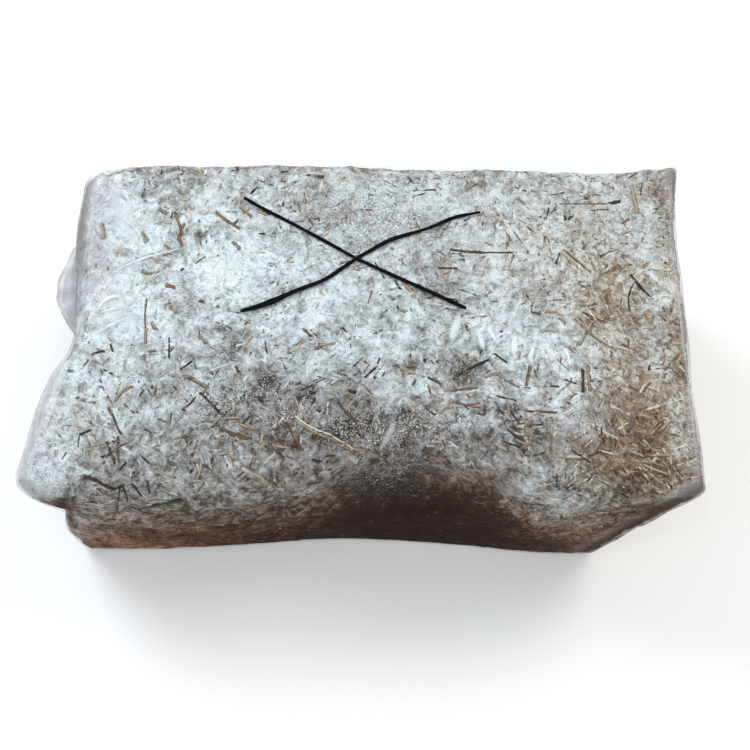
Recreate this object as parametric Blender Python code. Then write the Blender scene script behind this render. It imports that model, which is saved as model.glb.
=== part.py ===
"""Lion's mane grow block: straw and wood shavings bound by mycelium, in a clear gusseted film bag.

Blender 4.5. Metres, +Z up. The block lies on its back with its wide face up. +X runs along the block, from
the bag's folded-over open end to its welded end, and -Y is the near side, the one with the dent. The origin
is the middle of the underside.
"""

import math

import bmesh
import bpy
from mathutils import Vector, noise

# The filled bag: an 8 by 5 inch gusseted bag, filled to a little over 14 inches
LENGTH = 0.366
WIDTH = 0.207
HEIGHT = 0.123
HALF_LENGTH = LENGTH / 2
HALF_WIDTH = WIDTH / 2

# The film is drawn thicker than the real 0.08 mm, so that its wall stays a sound solid
FILM = 0.0004
BLOCK_INSET = 0.0012

# Edge radii: the near top edge slumps softly at the left, and the welded end is drawn to a sharp edge
NEAR_TOP_LEFT_RADIUS = 0.036
NEAR_TOP_RADIUS = 0.024
FAR_TOP_RADIUS = 0.010
BOTTOM_RADIUS = 0.0065
WELD_RADIUS = 0.004
LEFT_END_RADIUS = 0.013
BLOCK_SOFTER = 0.006

# Mesh lines: spacing on the faces, and distances from a rounded edge where they sit closer together
PITCH = 0.0155
CLOSE_TO_SOFT_EDGE = (0.008, 0.020, 0.035)
CLOSE_TO_EDGE = (0.006, 0.016)
CLOSE_TO_BASE = (0.005, 0.014)

# Outline of the two ends seen from above, as (y, x) at the wide face
LEFT_OUTLINE = (
    (-0.106, -0.187),
    (-0.086, -0.1895),
    (-0.060, -0.1888),
    (-0.036, -0.1820),
    (-0.014, -0.171),
    (0.020, -0.174),
    (0.060, -0.178),
    (0.106, -0.177),
)
RIGHT_OUTLINE = (
    (-0.106, 0.1805),
    (-0.050, 0.1810),
    (0.010, 0.1825),
    (0.050, 0.1830),
    (0.080, 0.1860),
    (0.104, 0.1895),
)
LEFT_BASE_X = -0.1845
LEFT_FALLOFF = 0.110
RIGHT_FALLOFF = 0.190
# The welded end leans in towards its base, by this much for each metre of height
NEAR_LEAN = 0.31
FAR_LEAN = 0.24
# The block stops short of the film at the welded end, where the bag's corners are empty
WELD_SLACK = 0.005
LEFT_SLACK = 0.003
SLACK_FALLOFF = 0.050

# The near side at the base, as (x, y), and the far side at the wide face
NEAR_BASE_OUTLINE = (
    (-0.186, -0.1045),
    (-0.150, -0.1055),
    (-0.090, -0.1035),
    (-0.020, -0.0990),
    (0.050, -0.1025),
    (0.110, -0.1080),
    (0.186, -0.1060),
)
FAR_TOP_OUTLINE = (
    (-0.186, 0.1050),
    (-0.120, 0.1098),
    (0.000, 0.1092),
    (0.070, 0.1058),
    (0.130, 0.1035),
    (0.186, 0.1045),
)

# Local forms: where each one is, how far it spreads, and how far the surface moves there
DENT_X = 0.027
DENT_SPREAD_X = 0.052
DENT_Z = 0.112
DENT_SPREAD_Z = 0.062
DENT_DEPTH = 0.022
EAR_Y = -0.098
EAR_SPREAD_Y = 0.017
EAR_Z = 0.103
EAR_SPREAD_Z = 0.020
EAR_REACH = 0.0062
UNDERCUT_Z = 0.070
UNDERCUT_SPREAD_Z = 0.022
UNDERCUT_DEPTH = 0.0105
# Hollows (below zero) and swells of the wide face, as (x, y, spread, height)
TOP_FORMS = (
    (0.056, -0.036, 0.016, -0.0045),
    (0.045, -0.060, 0.018, -0.0030),
    (0.012, 0.066, 0.028, -0.0022),
    (-0.085, -0.055, 0.022, -0.0022),
    (-0.014, -0.064, 0.020, -0.0025),
    (-0.023, -0.019, 0.034, 0.0025),
    (-0.140, 0.003, 0.026, 0.0018),
    (0.100, -0.070, 0.030, 0.0022),
    (0.155, -0.050, 0.022, -0.0025),
    (-0.130, -0.080, 0.030, -0.0030),
)
LUMP_SIZE = 0.038
LUMP_HEIGHT = 0.0024
LUMP_SEED = Vector((3.1, 7.7, 1.9))

# The bag's open end, folded in thirds and laid down over the left end
TAIL_Y_FROM = 0.008
TAIL_Y_TO = 0.058
TAIL_Z_FROM = 0.085
TAIL_Z_TO = 0.107
TAIL_FLARE = 1.25
TAIL_THICK = 0.0036
# It lies this far out from the end, and its fold swells further out towards its near edge
TAIL_LIES_OUT = 0.0056
TAIL_SWELL = 0.40
# The tail's middle line from its root: distance out from the end, height, direction, thickness factor
TAIL_ROUTE = (
    (0.0050, 0.1010, -5.0, 2.2),
    (0.0105, 0.1000, -22.0, 1.3),
    (0.0142, 0.0950, -62.0, 1.0),
    (0.0136, 0.0860, -100.0, 1.0),
    (0.0098, 0.0740, -108.0, 1.0),
    (TAIL_LIES_OUT, 0.0560, -93.0, 1.0),
    (TAIL_LIES_OUT, 0.0340, -90.0, 1.0),
)


def ease(value, start, end):
    """0 at start and 1 at end, smooth between."""
    share = min(max((value - start) / (end - start), 0.0), 1.0)
    return share * share * (3.0 - 2.0 * share)


def bell(value, middle, spread):
    return math.exp(-(((value - middle) / spread) ** 2))


def slope_at(points, i):
    """The outline's slope at its point i: that of the line from the point before it to the point after."""
    before = points[max(i - 1, 0)]
    after = points[min(i + 1, len(points) - 1)]
    return (after[1] - before[1]) / (after[0] - before[0])


def follow(points, place):
    """The outline's value at place, on a smooth curve through its points, and level beyond them."""
    for i in range(len(points) - 1):
        (start, low), (end, high) = points[i], points[i + 1]
        if place <= end:
            share = min(max((place - start) / (end - start), 0.0), 1.0)
            bend = slope_at(points, i) * share * (1.0 - share) ** 2
            bend -= slope_at(points, i + 1) * share**2 * (1.0 - share)
            return low + (high - low) * ease(place, start, end) + bend * (end - start)
    return points[-1][1]


def mesh_lines(length, close_low, close_high):
    """Places from 0 to length: close together by both edges, and about PITCH apart between."""
    start = close_low[-1]
    stop = length - close_high[-1]
    steps = max(1, round((stop - start) / PITCH))
    middle = [start + (stop - start) * i / steps for i in range(steps + 1)]
    return [0.0, *close_low[:-1], *middle, *(length - d for d in reversed(close_high[:-1])), length]


def edge_radius(x, y, z):
    """Radius of the edge nearest to a point of the box."""
    if z < HEIGHT / 2:
        side = BOTTOM_RADIUS
    elif y < 0:
        left_share = 1.0 - ease(x, -0.130, -0.020)
        side = NEAR_TOP_RADIUS + (NEAR_TOP_LEFT_RADIUS - NEAR_TOP_RADIUS) * left_share
    else:
        side = FAR_TOP_RADIUS
    if x < 0:
        at_end = 1.0 - ease(x, -HALF_LENGTH + 0.010, -HALF_LENGTH + 0.050)
        end = LEFT_END_RADIUS if z > HEIGHT / 2 else BOTTOM_RADIUS
    else:
        at_end = ease(x, HALF_LENGTH - 0.060, HALF_LENGTH - 0.012)
        end = WELD_RADIUS if z > HEIGHT / 2 else BOTTOM_RADIUS
    return side + (end - side) * at_end


def rounded(point, inset, softer):
    """The box point moved onto the rounded box, inset from it by a fixed distance."""
    radius = edge_radius(*point)
    core = Vector(
        (
            min(max(point.x, -HALF_LENGTH + radius + softer), HALF_LENGTH - radius - softer),
            min(max(point.y, -HALF_WIDTH + radius + softer), HALF_WIDTH - radius - softer),
            min(max(point.z, radius + softer), HEIGHT - radius - softer),
        )
    )
    away = point - core
    return core + away.normalized() * (radius + softer - inset)


def left_shift(y, z):
    """How far the left end's surface lies from the plain box's, at this place on it."""
    high = ease(z, 0.010, 0.100)
    outline = LEFT_BASE_X + (follow(LEFT_OUTLINE, y) - LEFT_BASE_X) * high
    near_corner = bell(y, EAR_Y, EAR_SPREAD_Y)
    ear = EAR_REACH * near_corner * bell(z, EAR_Z, EAR_SPREAD_Z)
    undercut = UNDERCUT_DEPTH * near_corner * bell(z, UNDERCUT_Z, UNDERCUT_SPREAD_Z)
    return outline + HALF_LENGTH - ear + undercut


def right_shift(y, z):
    lean = FAR_LEAN + (NEAR_LEAN - FAR_LEAN) * ease(-y, -HALF_WIDTH, HALF_WIDTH)
    return follow(RIGHT_OUTLINE, y) - lean * (HEIGHT - z) - HALF_LENGTH


def near_shift(x, z):
    """How far the near side lies from the plain box's: its outline at the base, and the dent above it."""
    dent = DENT_DEPTH * bell(x, DENT_X, DENT_SPREAD_X) * bell(z, DENT_Z, DENT_SPREAD_Z)
    return follow(NEAR_BASE_OUTLINE, x) + HALF_WIDTH + dent * ease(z, 0.0, 0.030)


def far_shift(x):
    return follow(FAR_TOP_OUTLINE, x) - HALF_WIDTH


def lumps(point):
    """Soft lumps of the packed straw, as a distance out of the surface."""
    return LUMP_HEIGHT * noise.noise(point / LUMP_SIZE + LUMP_SEED)


def shaped(point, slack_left=0.0, slack_right=0.0):
    """The rounded box's point carried to where the real block's surface is."""
    x, y, z = point
    x += left_shift(y, z) * ease(-point.x, HALF_LENGTH - LEFT_FALLOFF, HALF_LENGTH)
    x += right_shift(y, z) * ease(point.x, HALF_LENGTH - RIGHT_FALLOFF, HALF_LENGTH)
    x += slack_left * ease(-point.x, HALF_LENGTH - SLACK_FALLOFF, HALF_LENGTH)
    x -= slack_right * ease(point.x, HALF_LENGTH - SLACK_FALLOFF, HALF_LENGTH)
    y += near_shift(x, z) * ease(-point.y, 0.0, HALF_WIDTH)
    y += far_shift(x) * ease(point.y, 0.0, HALF_WIDTH)
    above_base = ease(z, 0.004, 0.050)
    wide_face = ease(z, HEIGHT - 0.040, HEIGHT)
    for form_x, form_y, spread, height in TOP_FORMS:
        z += height * bell(math.hypot(x - form_x, y - form_y), 0.0, spread) * wide_face
    middle = Vector((0.0, 0.0, HEIGHT / 2))
    outward = (point - middle) * Vector((0.3, 1.0, 1.6))
    return Vector((x, y, z)) + outward.normalized() * lumps(point) * above_base


def box_surface(mesh, inset, softer, slack_left, slack_right):
    """Quads over the whole block surface. Gives each left-end face with its middle on the plain box."""
    xs = [place - HALF_LENGTH for place in mesh_lines(LENGTH, CLOSE_TO_SOFT_EDGE, CLOSE_TO_SOFT_EDGE)]
    ys = [place - HALF_WIDTH for place in mesh_lines(WIDTH, CLOSE_TO_SOFT_EDGE, CLOSE_TO_EDGE)]
    zs = mesh_lines(HEIGHT, CLOSE_TO_BASE, CLOSE_TO_SOFT_EDGE)
    made = {}

    def vertex(i, j, k):
        if (i, j, k) not in made:
            point = rounded(Vector((xs[i], ys[j], zs[k])), inset, softer)
            made[i, j, k] = mesh.verts.new(shaped(point, slack_left, slack_right))
        return made[i, j, k]

    def face(*corners):
        return mesh.faces.new([vertex(*corner) for corner in corners])

    last_x, last_y, last_z = len(xs) - 1, len(ys) - 1, len(zs) - 1
    for i in range(last_x):
        for j in range(last_y):
            face((i, j, 0), (i, j + 1, 0), (i + 1, j + 1, 0), (i + 1, j, 0))
            face((i, j, last_z), (i + 1, j, last_z), (i + 1, j + 1, last_z), (i, j + 1, last_z))
        for k in range(last_z):
            face((i, 0, k), (i + 1, 0, k), (i + 1, 0, k + 1), (i, 0, k + 1))
            face((i, last_y, k), (i, last_y, k + 1), (i + 1, last_y, k + 1), (i + 1, last_y, k))
    left_end = []
    for j in range(last_y):
        for k in range(last_z):
            middle = ((ys[j] + ys[j + 1]) / 2, (zs[k] + zs[k + 1]) / 2)
            left_end.append((face((0, j, k), (0, j, k + 1), (0, j + 1, k + 1), (0, j + 1, k)), middle))
            face((last_x, j, k), (last_x, j + 1, k), (last_x, j + 1, k + 1), (last_x, j, k + 1))
    return left_end


def add_tail(mesh, left_end):
    """Draws the bag's open end out of the left end as a flat tube and folds it down, its mouth open."""
    patch = [
        face
        for face, (y, z) in left_end
        if TAIL_Y_FROM < y < TAIL_Y_TO and TAIL_Z_FROM < z < TAIL_Z_TO
    ]
    corners = {corner for face in patch for corner in face.verts}
    middle_y = sum(corner.co.y for corner in corners) / len(corners)
    middle_z = sum(corner.co.z for corner in corners) / len(corners)
    lower = sorted((corner for corner in corners if corner.co.z < middle_z), key=lambda corner: corner.co.y)
    upper = sorted((corner for corner in corners if corner.co.z >= middle_z), key=lambda corner: -corner.co.y)
    bmesh.ops.delete(mesh, geom=patch, context="FACES")
    ring = lower + upper
    widths = [corner.co.y - middle_y for corner in ring]
    sides = [-1.0] * len(lower) + [1.0] * len(upper)
    for step, (out, height, degrees, thickness) in enumerate(TAIL_ROUTE, start=1):
        flare = 1.0 + (TAIL_FLARE - 1.0) * step / len(TAIL_ROUTE)
        angle = math.radians(degrees)
        across = Vector((math.sin(angle), 0.0, math.cos(angle))) * TAIL_THICK * thickness / 2
        fresh = []
        for width, side in zip(widths, sides):
            y = middle_y + width * flare
            swell = 1.0 - TAIL_SWELL * ease(width, widths[0], widths[len(lower) - 1])
            end_x = left_shift(y, height) - HALF_LENGTH
            outer_x = end_x - TAIL_LIES_OUT - (out - TAIL_LIES_OUT) * swell
            fresh.append(mesh.verts.new(Vector((outer_x, y, height)) + across * side))
        for i in range(len(ring)):
            after = (i + 1) % len(ring)
            mesh.faces.new((ring[i], ring[after], fresh[after], fresh[i]))
        ring = fresh


def finished(name, mesh, material):
    """The mesh as an object of the scene, with its faces turned out and smooth."""
    bmesh.ops.recalc_face_normals(mesh, faces=mesh.faces)
    bmesh.ops.triangulate(mesh, faces=mesh.faces, quad_method="FIXED")
    data = bpy.data.meshes.new(name)
    mesh.to_mesh(data)
    mesh.free()
    data.materials.append(material)
    data.shade_smooth()
    made = bpy.data.objects.new(name, data)
    bpy.context.scene.collection.objects.link(made)
    return made


def plain_material(name, colour, roughness):
    material = bpy.data.materials.new(name)
    material.use_nodes = True
    shader = material.node_tree.nodes["Principled BSDF"]
    shader.inputs["Base Color"].default_value = (*colour, 1.0)
    shader.inputs["Roughness"].default_value = roughness
    shader.inputs["Metallic"].default_value = 0.0
    return material


def build_substrate_block():
    """The grown block: a closed solid just inside the film, rounder than it at the edges."""
    mesh = bmesh.new()
    box_surface(mesh, BLOCK_INSET, BLOCK_SOFTER, LEFT_SLACK, WELD_SLACK)
    straw = plain_material("mycelium_bound_straw", (0.62, 0.60, 0.54), 0.85)
    return finished("substrate_block", mesh, straw)


def build_film_bag():
    """The film: one surface with its mouth at the end of the folded tail, given its wall inwards."""
    mesh = bmesh.new()
    add_tail(mesh, box_surface(mesh, 0.0, 0.0, 0.0, 0.0))
    film = plain_material("clear_polypropylene_film", (0.85, 0.88, 0.90), 0.15)
    film.node_tree.nodes["Principled BSDF"].inputs["Alpha"].default_value = 0.35
    bag = finished("film_bag", mesh, film)
    wall = bag.modifiers.new("wall", "SOLIDIFY")
    wall.thickness = FILM
    wall.offset = -1.0
    wall.use_even_offset = True
    wall.use_rim = True
    return bag


def centre_on_base(objects, outermost):
    """Moves every mesh so that the origin is the middle of the underside of the outermost one's box."""
    corners = [vertex.co for vertex in outermost.data.vertices]
    low = Vector([min(corner[axis] for corner in corners) for axis in range(3)])
    high = Vector([max(corner[axis] for corner in corners) for axis in range(3)])
    shift = Vector((-(low.x + high.x) / 2, -(low.y + high.y) / 2, -low.z))
    for item in objects:
        for vertex in item.data.vertices:
            vertex.co += shift
    print("moved onto the origin by", tuple(round(value, 5) for value in shift))


for old in list(bpy.data.objects):
    bpy.data.objects.remove(old, do_unlink=True)

block = build_substrate_block()
film_bag = build_film_bag()
centre_on_base((block, film_bag), film_bag)
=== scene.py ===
"""Looks of a lion's mane grow block: wheat straw and wood shavings bound by white mycelium, under the clear
film of a gusseted bag. Metres, +Z up. Pieces are made in the frame that the outlines below are drawn in, and
moved into the row's frame, whose origin is the middle of the underside, by ROW_SHIFT."""

import math
from functools import partial

import bpy
import numpy as np
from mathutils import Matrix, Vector, noise
from mathutils.bvhtree import BVHTree


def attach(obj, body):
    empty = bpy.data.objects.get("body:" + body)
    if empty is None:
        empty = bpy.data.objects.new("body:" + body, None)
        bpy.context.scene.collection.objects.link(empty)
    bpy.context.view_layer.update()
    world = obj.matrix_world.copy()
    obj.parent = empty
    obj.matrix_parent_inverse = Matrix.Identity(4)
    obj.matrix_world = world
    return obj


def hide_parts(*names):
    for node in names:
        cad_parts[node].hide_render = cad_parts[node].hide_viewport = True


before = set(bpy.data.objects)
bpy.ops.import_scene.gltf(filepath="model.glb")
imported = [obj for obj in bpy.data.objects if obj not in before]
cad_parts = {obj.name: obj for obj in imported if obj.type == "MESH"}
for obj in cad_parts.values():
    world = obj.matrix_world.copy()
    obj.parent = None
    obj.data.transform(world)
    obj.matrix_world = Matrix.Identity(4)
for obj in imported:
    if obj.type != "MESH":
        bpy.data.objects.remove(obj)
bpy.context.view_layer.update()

ROW_SHIFT = np.array((0.00261, -0.00187, 0.0))
MM = 0.001

# What the skin and the straw know of the ground at each point: how thickly mycelium covers it, less where
# painted shade darkens it, how warm the straw's colour is, how wet the film is there, and how much painted
# shade, dark and brown, is laid on it
GROUND_LABELS = ("growth", "warmth", "wet", "painted_shade")

# The photograph's view: where the camera stood, how far down it looked, its lens, and its frame's width in mm
CAMERA_PLACE = np.array((0.0028, -0.2786, 0.6545))
CAMERA_DOWN = 65.59
CAMERA_LENS = 50.2
CAMERA_FRAME = 36.0

# The filled bag, as its solids have it
LENGTH = 0.366
WIDTH = 0.207
HEIGHT = 0.123
HALF_LENGTH = LENGTH / 2
HALF_WIDTH = WIDTH / 2
NEAR_TOP_LEFT_RADIUS = 0.036
NEAR_TOP_RADIUS = 0.024
FAR_TOP_RADIUS = 0.010
BOTTOM_RADIUS = 0.0065
WELD_RADIUS = 0.004
LEFT_END_RADIUS = 0.013

# Outlines: the left and right ends as (y, x), the near edge of the base and the far edge of the top as (x, y)
LEFT_OUTLINE = (
    (-0.106, -0.187), (-0.086, -0.1895), (-0.060, -0.1888), (-0.036, -0.1820),
    (-0.014, -0.171), (0.020, -0.174), (0.060, -0.178), (0.106, -0.177),
)
RIGHT_OUTLINE = (
    (-0.106, 0.1805), (-0.050, 0.1810), (0.010, 0.1825),
    (0.050, 0.1830), (0.080, 0.1860), (0.104, 0.1895),
)
NEAR_BASE_OUTLINE = (
    (-0.186, -0.1045), (-0.150, -0.1055), (-0.090, -0.1035), (-0.020, -0.0990),
    (0.050, -0.1025), (0.110, -0.1080), (0.186, -0.1060),
)
FAR_TOP_OUTLINE = (
    (-0.186, 0.1050), (-0.120, 0.1098), (0.000, 0.1092),
    (0.070, 0.1058), (0.130, 0.1035), (0.186, 0.1045),
)

# Where the near top edge's radius changes along x, and how far in from each end that end's own radii fade out
NEAR_RADIUS_CHANGES = (-0.130, -0.020)
LEFT_END_ROUNDS = (0.010, 0.050)
RIGHT_END_ROUNDS = (0.012, 0.060)

# The leaning ends, the dent in the near side, the ear at the left end and the undercut below it
LEFT_BASE_X = -0.1845
LEFT_TAPER_Z = (0.010, 0.100)
LEFT_FALLOFF = 0.110
RIGHT_FALLOFF = 0.190
NEAR_LEAN = 0.31
FAR_LEAN = 0.24
DENT_X = 0.027
DENT_SPREAD_X = 0.052
DENT_Z = 0.112
DENT_SPREAD_Z = 0.062
DENT_DEPTH = 0.022
DENT_FADES_BELOW = 0.030
EAR_Y = -0.098
EAR_SPREAD_Y = 0.017
EAR_Z = 0.103
EAR_SPREAD_Z = 0.020
EAR_REACH = 0.0062
UNDERCUT_Z = 0.070
UNDERCUT_SPREAD_Z = 0.022
UNDERCUT_DEPTH = 0.0105
TOP_FORMS_DOWN_TO = 0.040

# Swells and hollows of the wide face: x, y, spread, height
TOP_FORMS = (
    (0.056, -0.036, 0.016, -0.0045),
    (0.045, -0.060, 0.018, -0.0030),
    (0.012, 0.066, 0.028, -0.0022),
    (-0.085, -0.055, 0.022, -0.0022),
    (-0.014, -0.064, 0.020, -0.0025),
    (-0.023, -0.019, 0.034, 0.0025),
    (-0.140, 0.003, 0.026, 0.0018),
    (0.100, -0.070, 0.030, 0.0022),
    (0.155, -0.050, 0.022, -0.0025),
    (-0.130, -0.080, 0.030, -0.0030),
)

# Lumps all over, and how much each direction counts in the way out of the block
LUMP_SIZE = 0.038
LUMP_HEIGHT = 0.0024
LUMP_SEED = (3.1, 7.7, 1.9)
LUMPS_START_Z = (0.004, 0.050)
OUTWARD_WEIGHTS = np.array((0.3, 1.0, 1.6))

# The folded-down open end of the bag: across the left end, and its middle line from the root as distance
# out from the end, height, direction in degrees, thickness
TAIL_MIDDLE_Y = 0.036
TAIL_HALF_WIDTH = 0.026
TAIL_FLARE = 1.25
TAIL_THICK = 0.0036
TAIL_LIES_OUT = 0.0056
TAIL_PROFILE = ((-1.0, 0.25), (-0.75, 0.70), (-0.35, 1.0), (0.10, 0.90), (0.60, 0.50), (1.0, 0.10))
TAIL_ROUTE = (
    (-0.0010, 0.0965, 0.0, 3.0),
    (0.0050, 0.1010, -5.0, 2.2),
    (0.0105, 0.1000, -22.0, 1.3),
    (0.0142, 0.0950, -62.0, 1.0),
    (0.0136, 0.0860, -100.0, 1.0),
    (0.0098, 0.0740, -108.0, 1.0),
    (TAIL_LIES_OUT, 0.0560, -93.0, 1.0),
    (TAIL_LIES_OUT, 0.0340, -90.0, 1.0),
)
TAIL_RINGS = 46
TAIL_POINTS_ACROSS = 44
TAIL_MILK = 0.42
PLEAT_HEIGHT = 0.3 * MM
PLEAT_TURNS = 13.0

# The block lies this far under the film, with corners this much rounder
BLOCK_INSET = 0.3 * MM
BLOCK_SOFTER = 0.8 * MM

# The film stands this far off the solid's surface, to leave room for straw under it, less its own ripples.
# Where it is clear it is still a little milky
FILM_OUT = 0.4 * MM
FILM_RIPPLE_SIZE = 14 * MM
FILM_RIPPLE_DEPTH = 0.25 * MM
CLEAR_FILM_MILK = 0.003

# Mesh pitch of the block's skin and of the film, and the heights between which both leave the flat underside
SKIN_PITCH = 2.0 * MM
FILM_PITCH = 2.1 * MM
UNDERSIDE_EDGE = (0.002, 0.010)

# Relief of the skin: size of its cushions and tufts, how far they stand, how much whiter they are than the
# hollows between them, partly more growth and partly painted shade in the hollows, and where the film presses
# them flat
CUSHION_SIZE = 13 * MM
CUSHION_HEIGHT = 1.2 * MM
CUSHION_GROWTH_AND_SHADE = 0.10
TUFT_SIZE = 5 * MM
TUFT_HEIGHT = 0.7 * MM
TUFT_GROWTH_AND_SHADE = 0.08
PRESSED_FLAT = 0.2 * MM

# The ground before any patch: what, on which sides, its level, and its noise's strength, size in mm and seed
GROUND_NOISE = (
    ("growth", "all", 0.66, 0.12, 60, (9.0, 2.0, 4.0)),
    ("growth", "all", 0.00, 0.12, 21, (1.0, 5.0, 8.0)),
    ("warmth", "hidden", 0.25, 0.50, 75, (4.0, 4.0, 1.0)),
    ("wet", "hidden", 0.10, 0.70, 50, (7.0, 3.0, 3.0)),
)

# How the ground changes over the block: what, on which sides, how much more, along which measure, from and
# to. Measures in mm: right is x, high is z, and near is towards the camera on the plane of the wide face
GROUND_SLOPES = (
    # Painted shade: less growth towards the near side darkens it, as light falling from above and behind
    # leaves it
    ("growth", "seen", -0.12, "near", 40, 80),
    ("growth", "seen", -0.24, "near", 85, 125),
    # Less growth, so darker, towards the bottom on the hidden sides
    ("growth", "hidden", -0.24, "high", 60, 4),
    ("warmth", "seen", 0.30, "right", 60, 150),
    ("warmth", "all", 0.40, "high", 70, 10),
    # Painted shade and a brown table's painted reflection: warmer, browner and darker towards the near side
    ("warmth", "seen", 0.06, "near", 50, 90),
    ("painted_shade", "seen", 0.05, "near", 45, 85),
    ("painted_shade", "seen", 0.55, "near", 106, 130),
    # Darker and browner towards the bottom on the hidden sides
    ("painted_shade", "hidden", 0.45, "high", 80, 10),
)

# Places below are in mm on the plane of the wide face, as seen from the photograph's place
# Patches: x, y, spread along x and y, more growth, warmer, wetter, more painted shade, as far as a row goes
PATCHES = (
    (-150, 68, 14, 22, 0.20, -0.2),
    (-128, 52, 10, 10, 0.20, -0.2),
    (-146, 12, 18, 26, 0.24, -0.2),
    (-86, 27, 24, 17, 0.20, -0.3),
    (-26, 1, 20, 20, 0.12, -0.3),
    (-160, -52, 18, 20, 0.04),
    (84, -14, 26, 10, 0.16, -0.2),
    (106, -58, 14, 12, 0.10),
    (2, 62, 36, 22, 0.03, 0.1, 1.0),
    (-30, -76, 80, 22, -0.10, 0.0, 0.1),
    (90, -62, 34, 22, -0.07, 0.0, 0.1),
    (85, 50, 60, 36, 0.03, 0.35, 0.1),
    (177, -20, 8, 90, -0.14, 0.7),
    (185, 50, 6, 60, -0.18, 0.6, 0.2),
    (44, 16, 13, 8, -0.13, 0.1, 0.5),
    (134, 16, 26, 28, -0.05, 0.8, 0.1),
    (150, -62, 17, 34, -0.20, 1.0, 0.1),
    (128, -90, 22, 16, -0.10, 0.6, 0.2),
    (172, -72, 12, 26, 0.22, 0.1, 0.8),
    (160, 66, 22, 22, 0.14, 0.1, 0.8),
    (-58, -56, 34, 18, -0.12, 0.1, 0.5),
    (-84, -50, 16, 16, -0.06, 0.0, 0.8),
    (18, -66, 36, 14, -0.16, 0.1, 0.9),
    (-48, 17, 13, 8, -0.14, 0.0, 0.4),
    (54, -34, 12, 10, -0.24, 0.2, 0.6),
    (94, 12, 22, 12, 0.00, 0.2, 0.6),
    (-118, 70, 12, 18, -0.08, 0.2),
    (-178, -98, 16, 12, 0.52, 0.0, 0.7),
    (-164, -113, 7, 4, -0.50, 0.8, 0.0, 0.60),
    (-101, 54, 4, 4, -0.42, -0.1, 0.2),
    (-86, -8, 5, 4, -0.36, -0.2, 0.4),
    (-77, -19, 6, 5, -0.34, -0.2, 0.5),
    (-35, -49, 6, 6, -0.42, 0.0, 0.4),
    (-16, -70, 13, 9, -0.26, 0.0, 0.5),
    (-58, -40, 8, 6, -0.30, -0.1, 0.6),
    (-22, -28, 14, 9, 0.10, -0.2, 0.2),
    (17, -16, 14, 8, 0.10, -0.2, 0.1),
    (-130, -70, 30, 24, 0.06),
    (101, -111, 26, 14, 0.32, -0.1, 0.3),
    # The rows here with y beyond -115 lie on the near side's foot and mostly brown it, less grown and warmer:
    # painted reflection of a brown table, with painted shade
    (30, -118, 50, 20, -0.42, 0.2),
    (10, -96, 26, 12, -0.18, 0.1, 0.6),
    (-60, -130, 90, 8, -0.12, 0.5),
    (146, -128, 34, 10, -0.20, 0.9),
    (20, -134, 90, 8, -0.30, 0.3),
    (-105, -133, 60, 8, 0.22, 0.3),
    (0, 103, 230, 4, -0.08, 0.4),
    (-20, 90, 36, 12, 0.12, 0.1, 0.2),
    (-110, -82, 50, 26, -0.06),
    (75, -82, 40, 22, -0.09),
    (-26, -8, 24, 16, -0.06),
    (-158, -128, 14, 8, 0.20, 0.0, 0.0, -0.20),
    (10, 80, 110, 28, 0.10, 0.16, 0.1),
    (-178, -63, 12, 20, 0.20),
    (-20, -62, 16, 10, 0.08),
    (-115, -16, 16, 12, 0.12),
    (115, -126, 26, 8, 0.16),
    # These rows only lay painted shade, or take it away where it is negative
    (27, -112, 52, 20, 0.00, 0.0, 0.0, 0.75),
    (27, -128, 70, 12, 0.00, 0.0, 0.0, 0.30),
    (-70, -132, 100, 7, 0.00, 0.0, 0.0, 0.35),
    (140, -126, 40, 8, 0.00, 0.0, 0.0, 0.10),
    (101, -110, 26, 13, 0.00, 0.0, 0.0, -0.45),
    (-178, -99, 16, 9, 0.00, 0.0, 0.0, -0.60),
)

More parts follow.
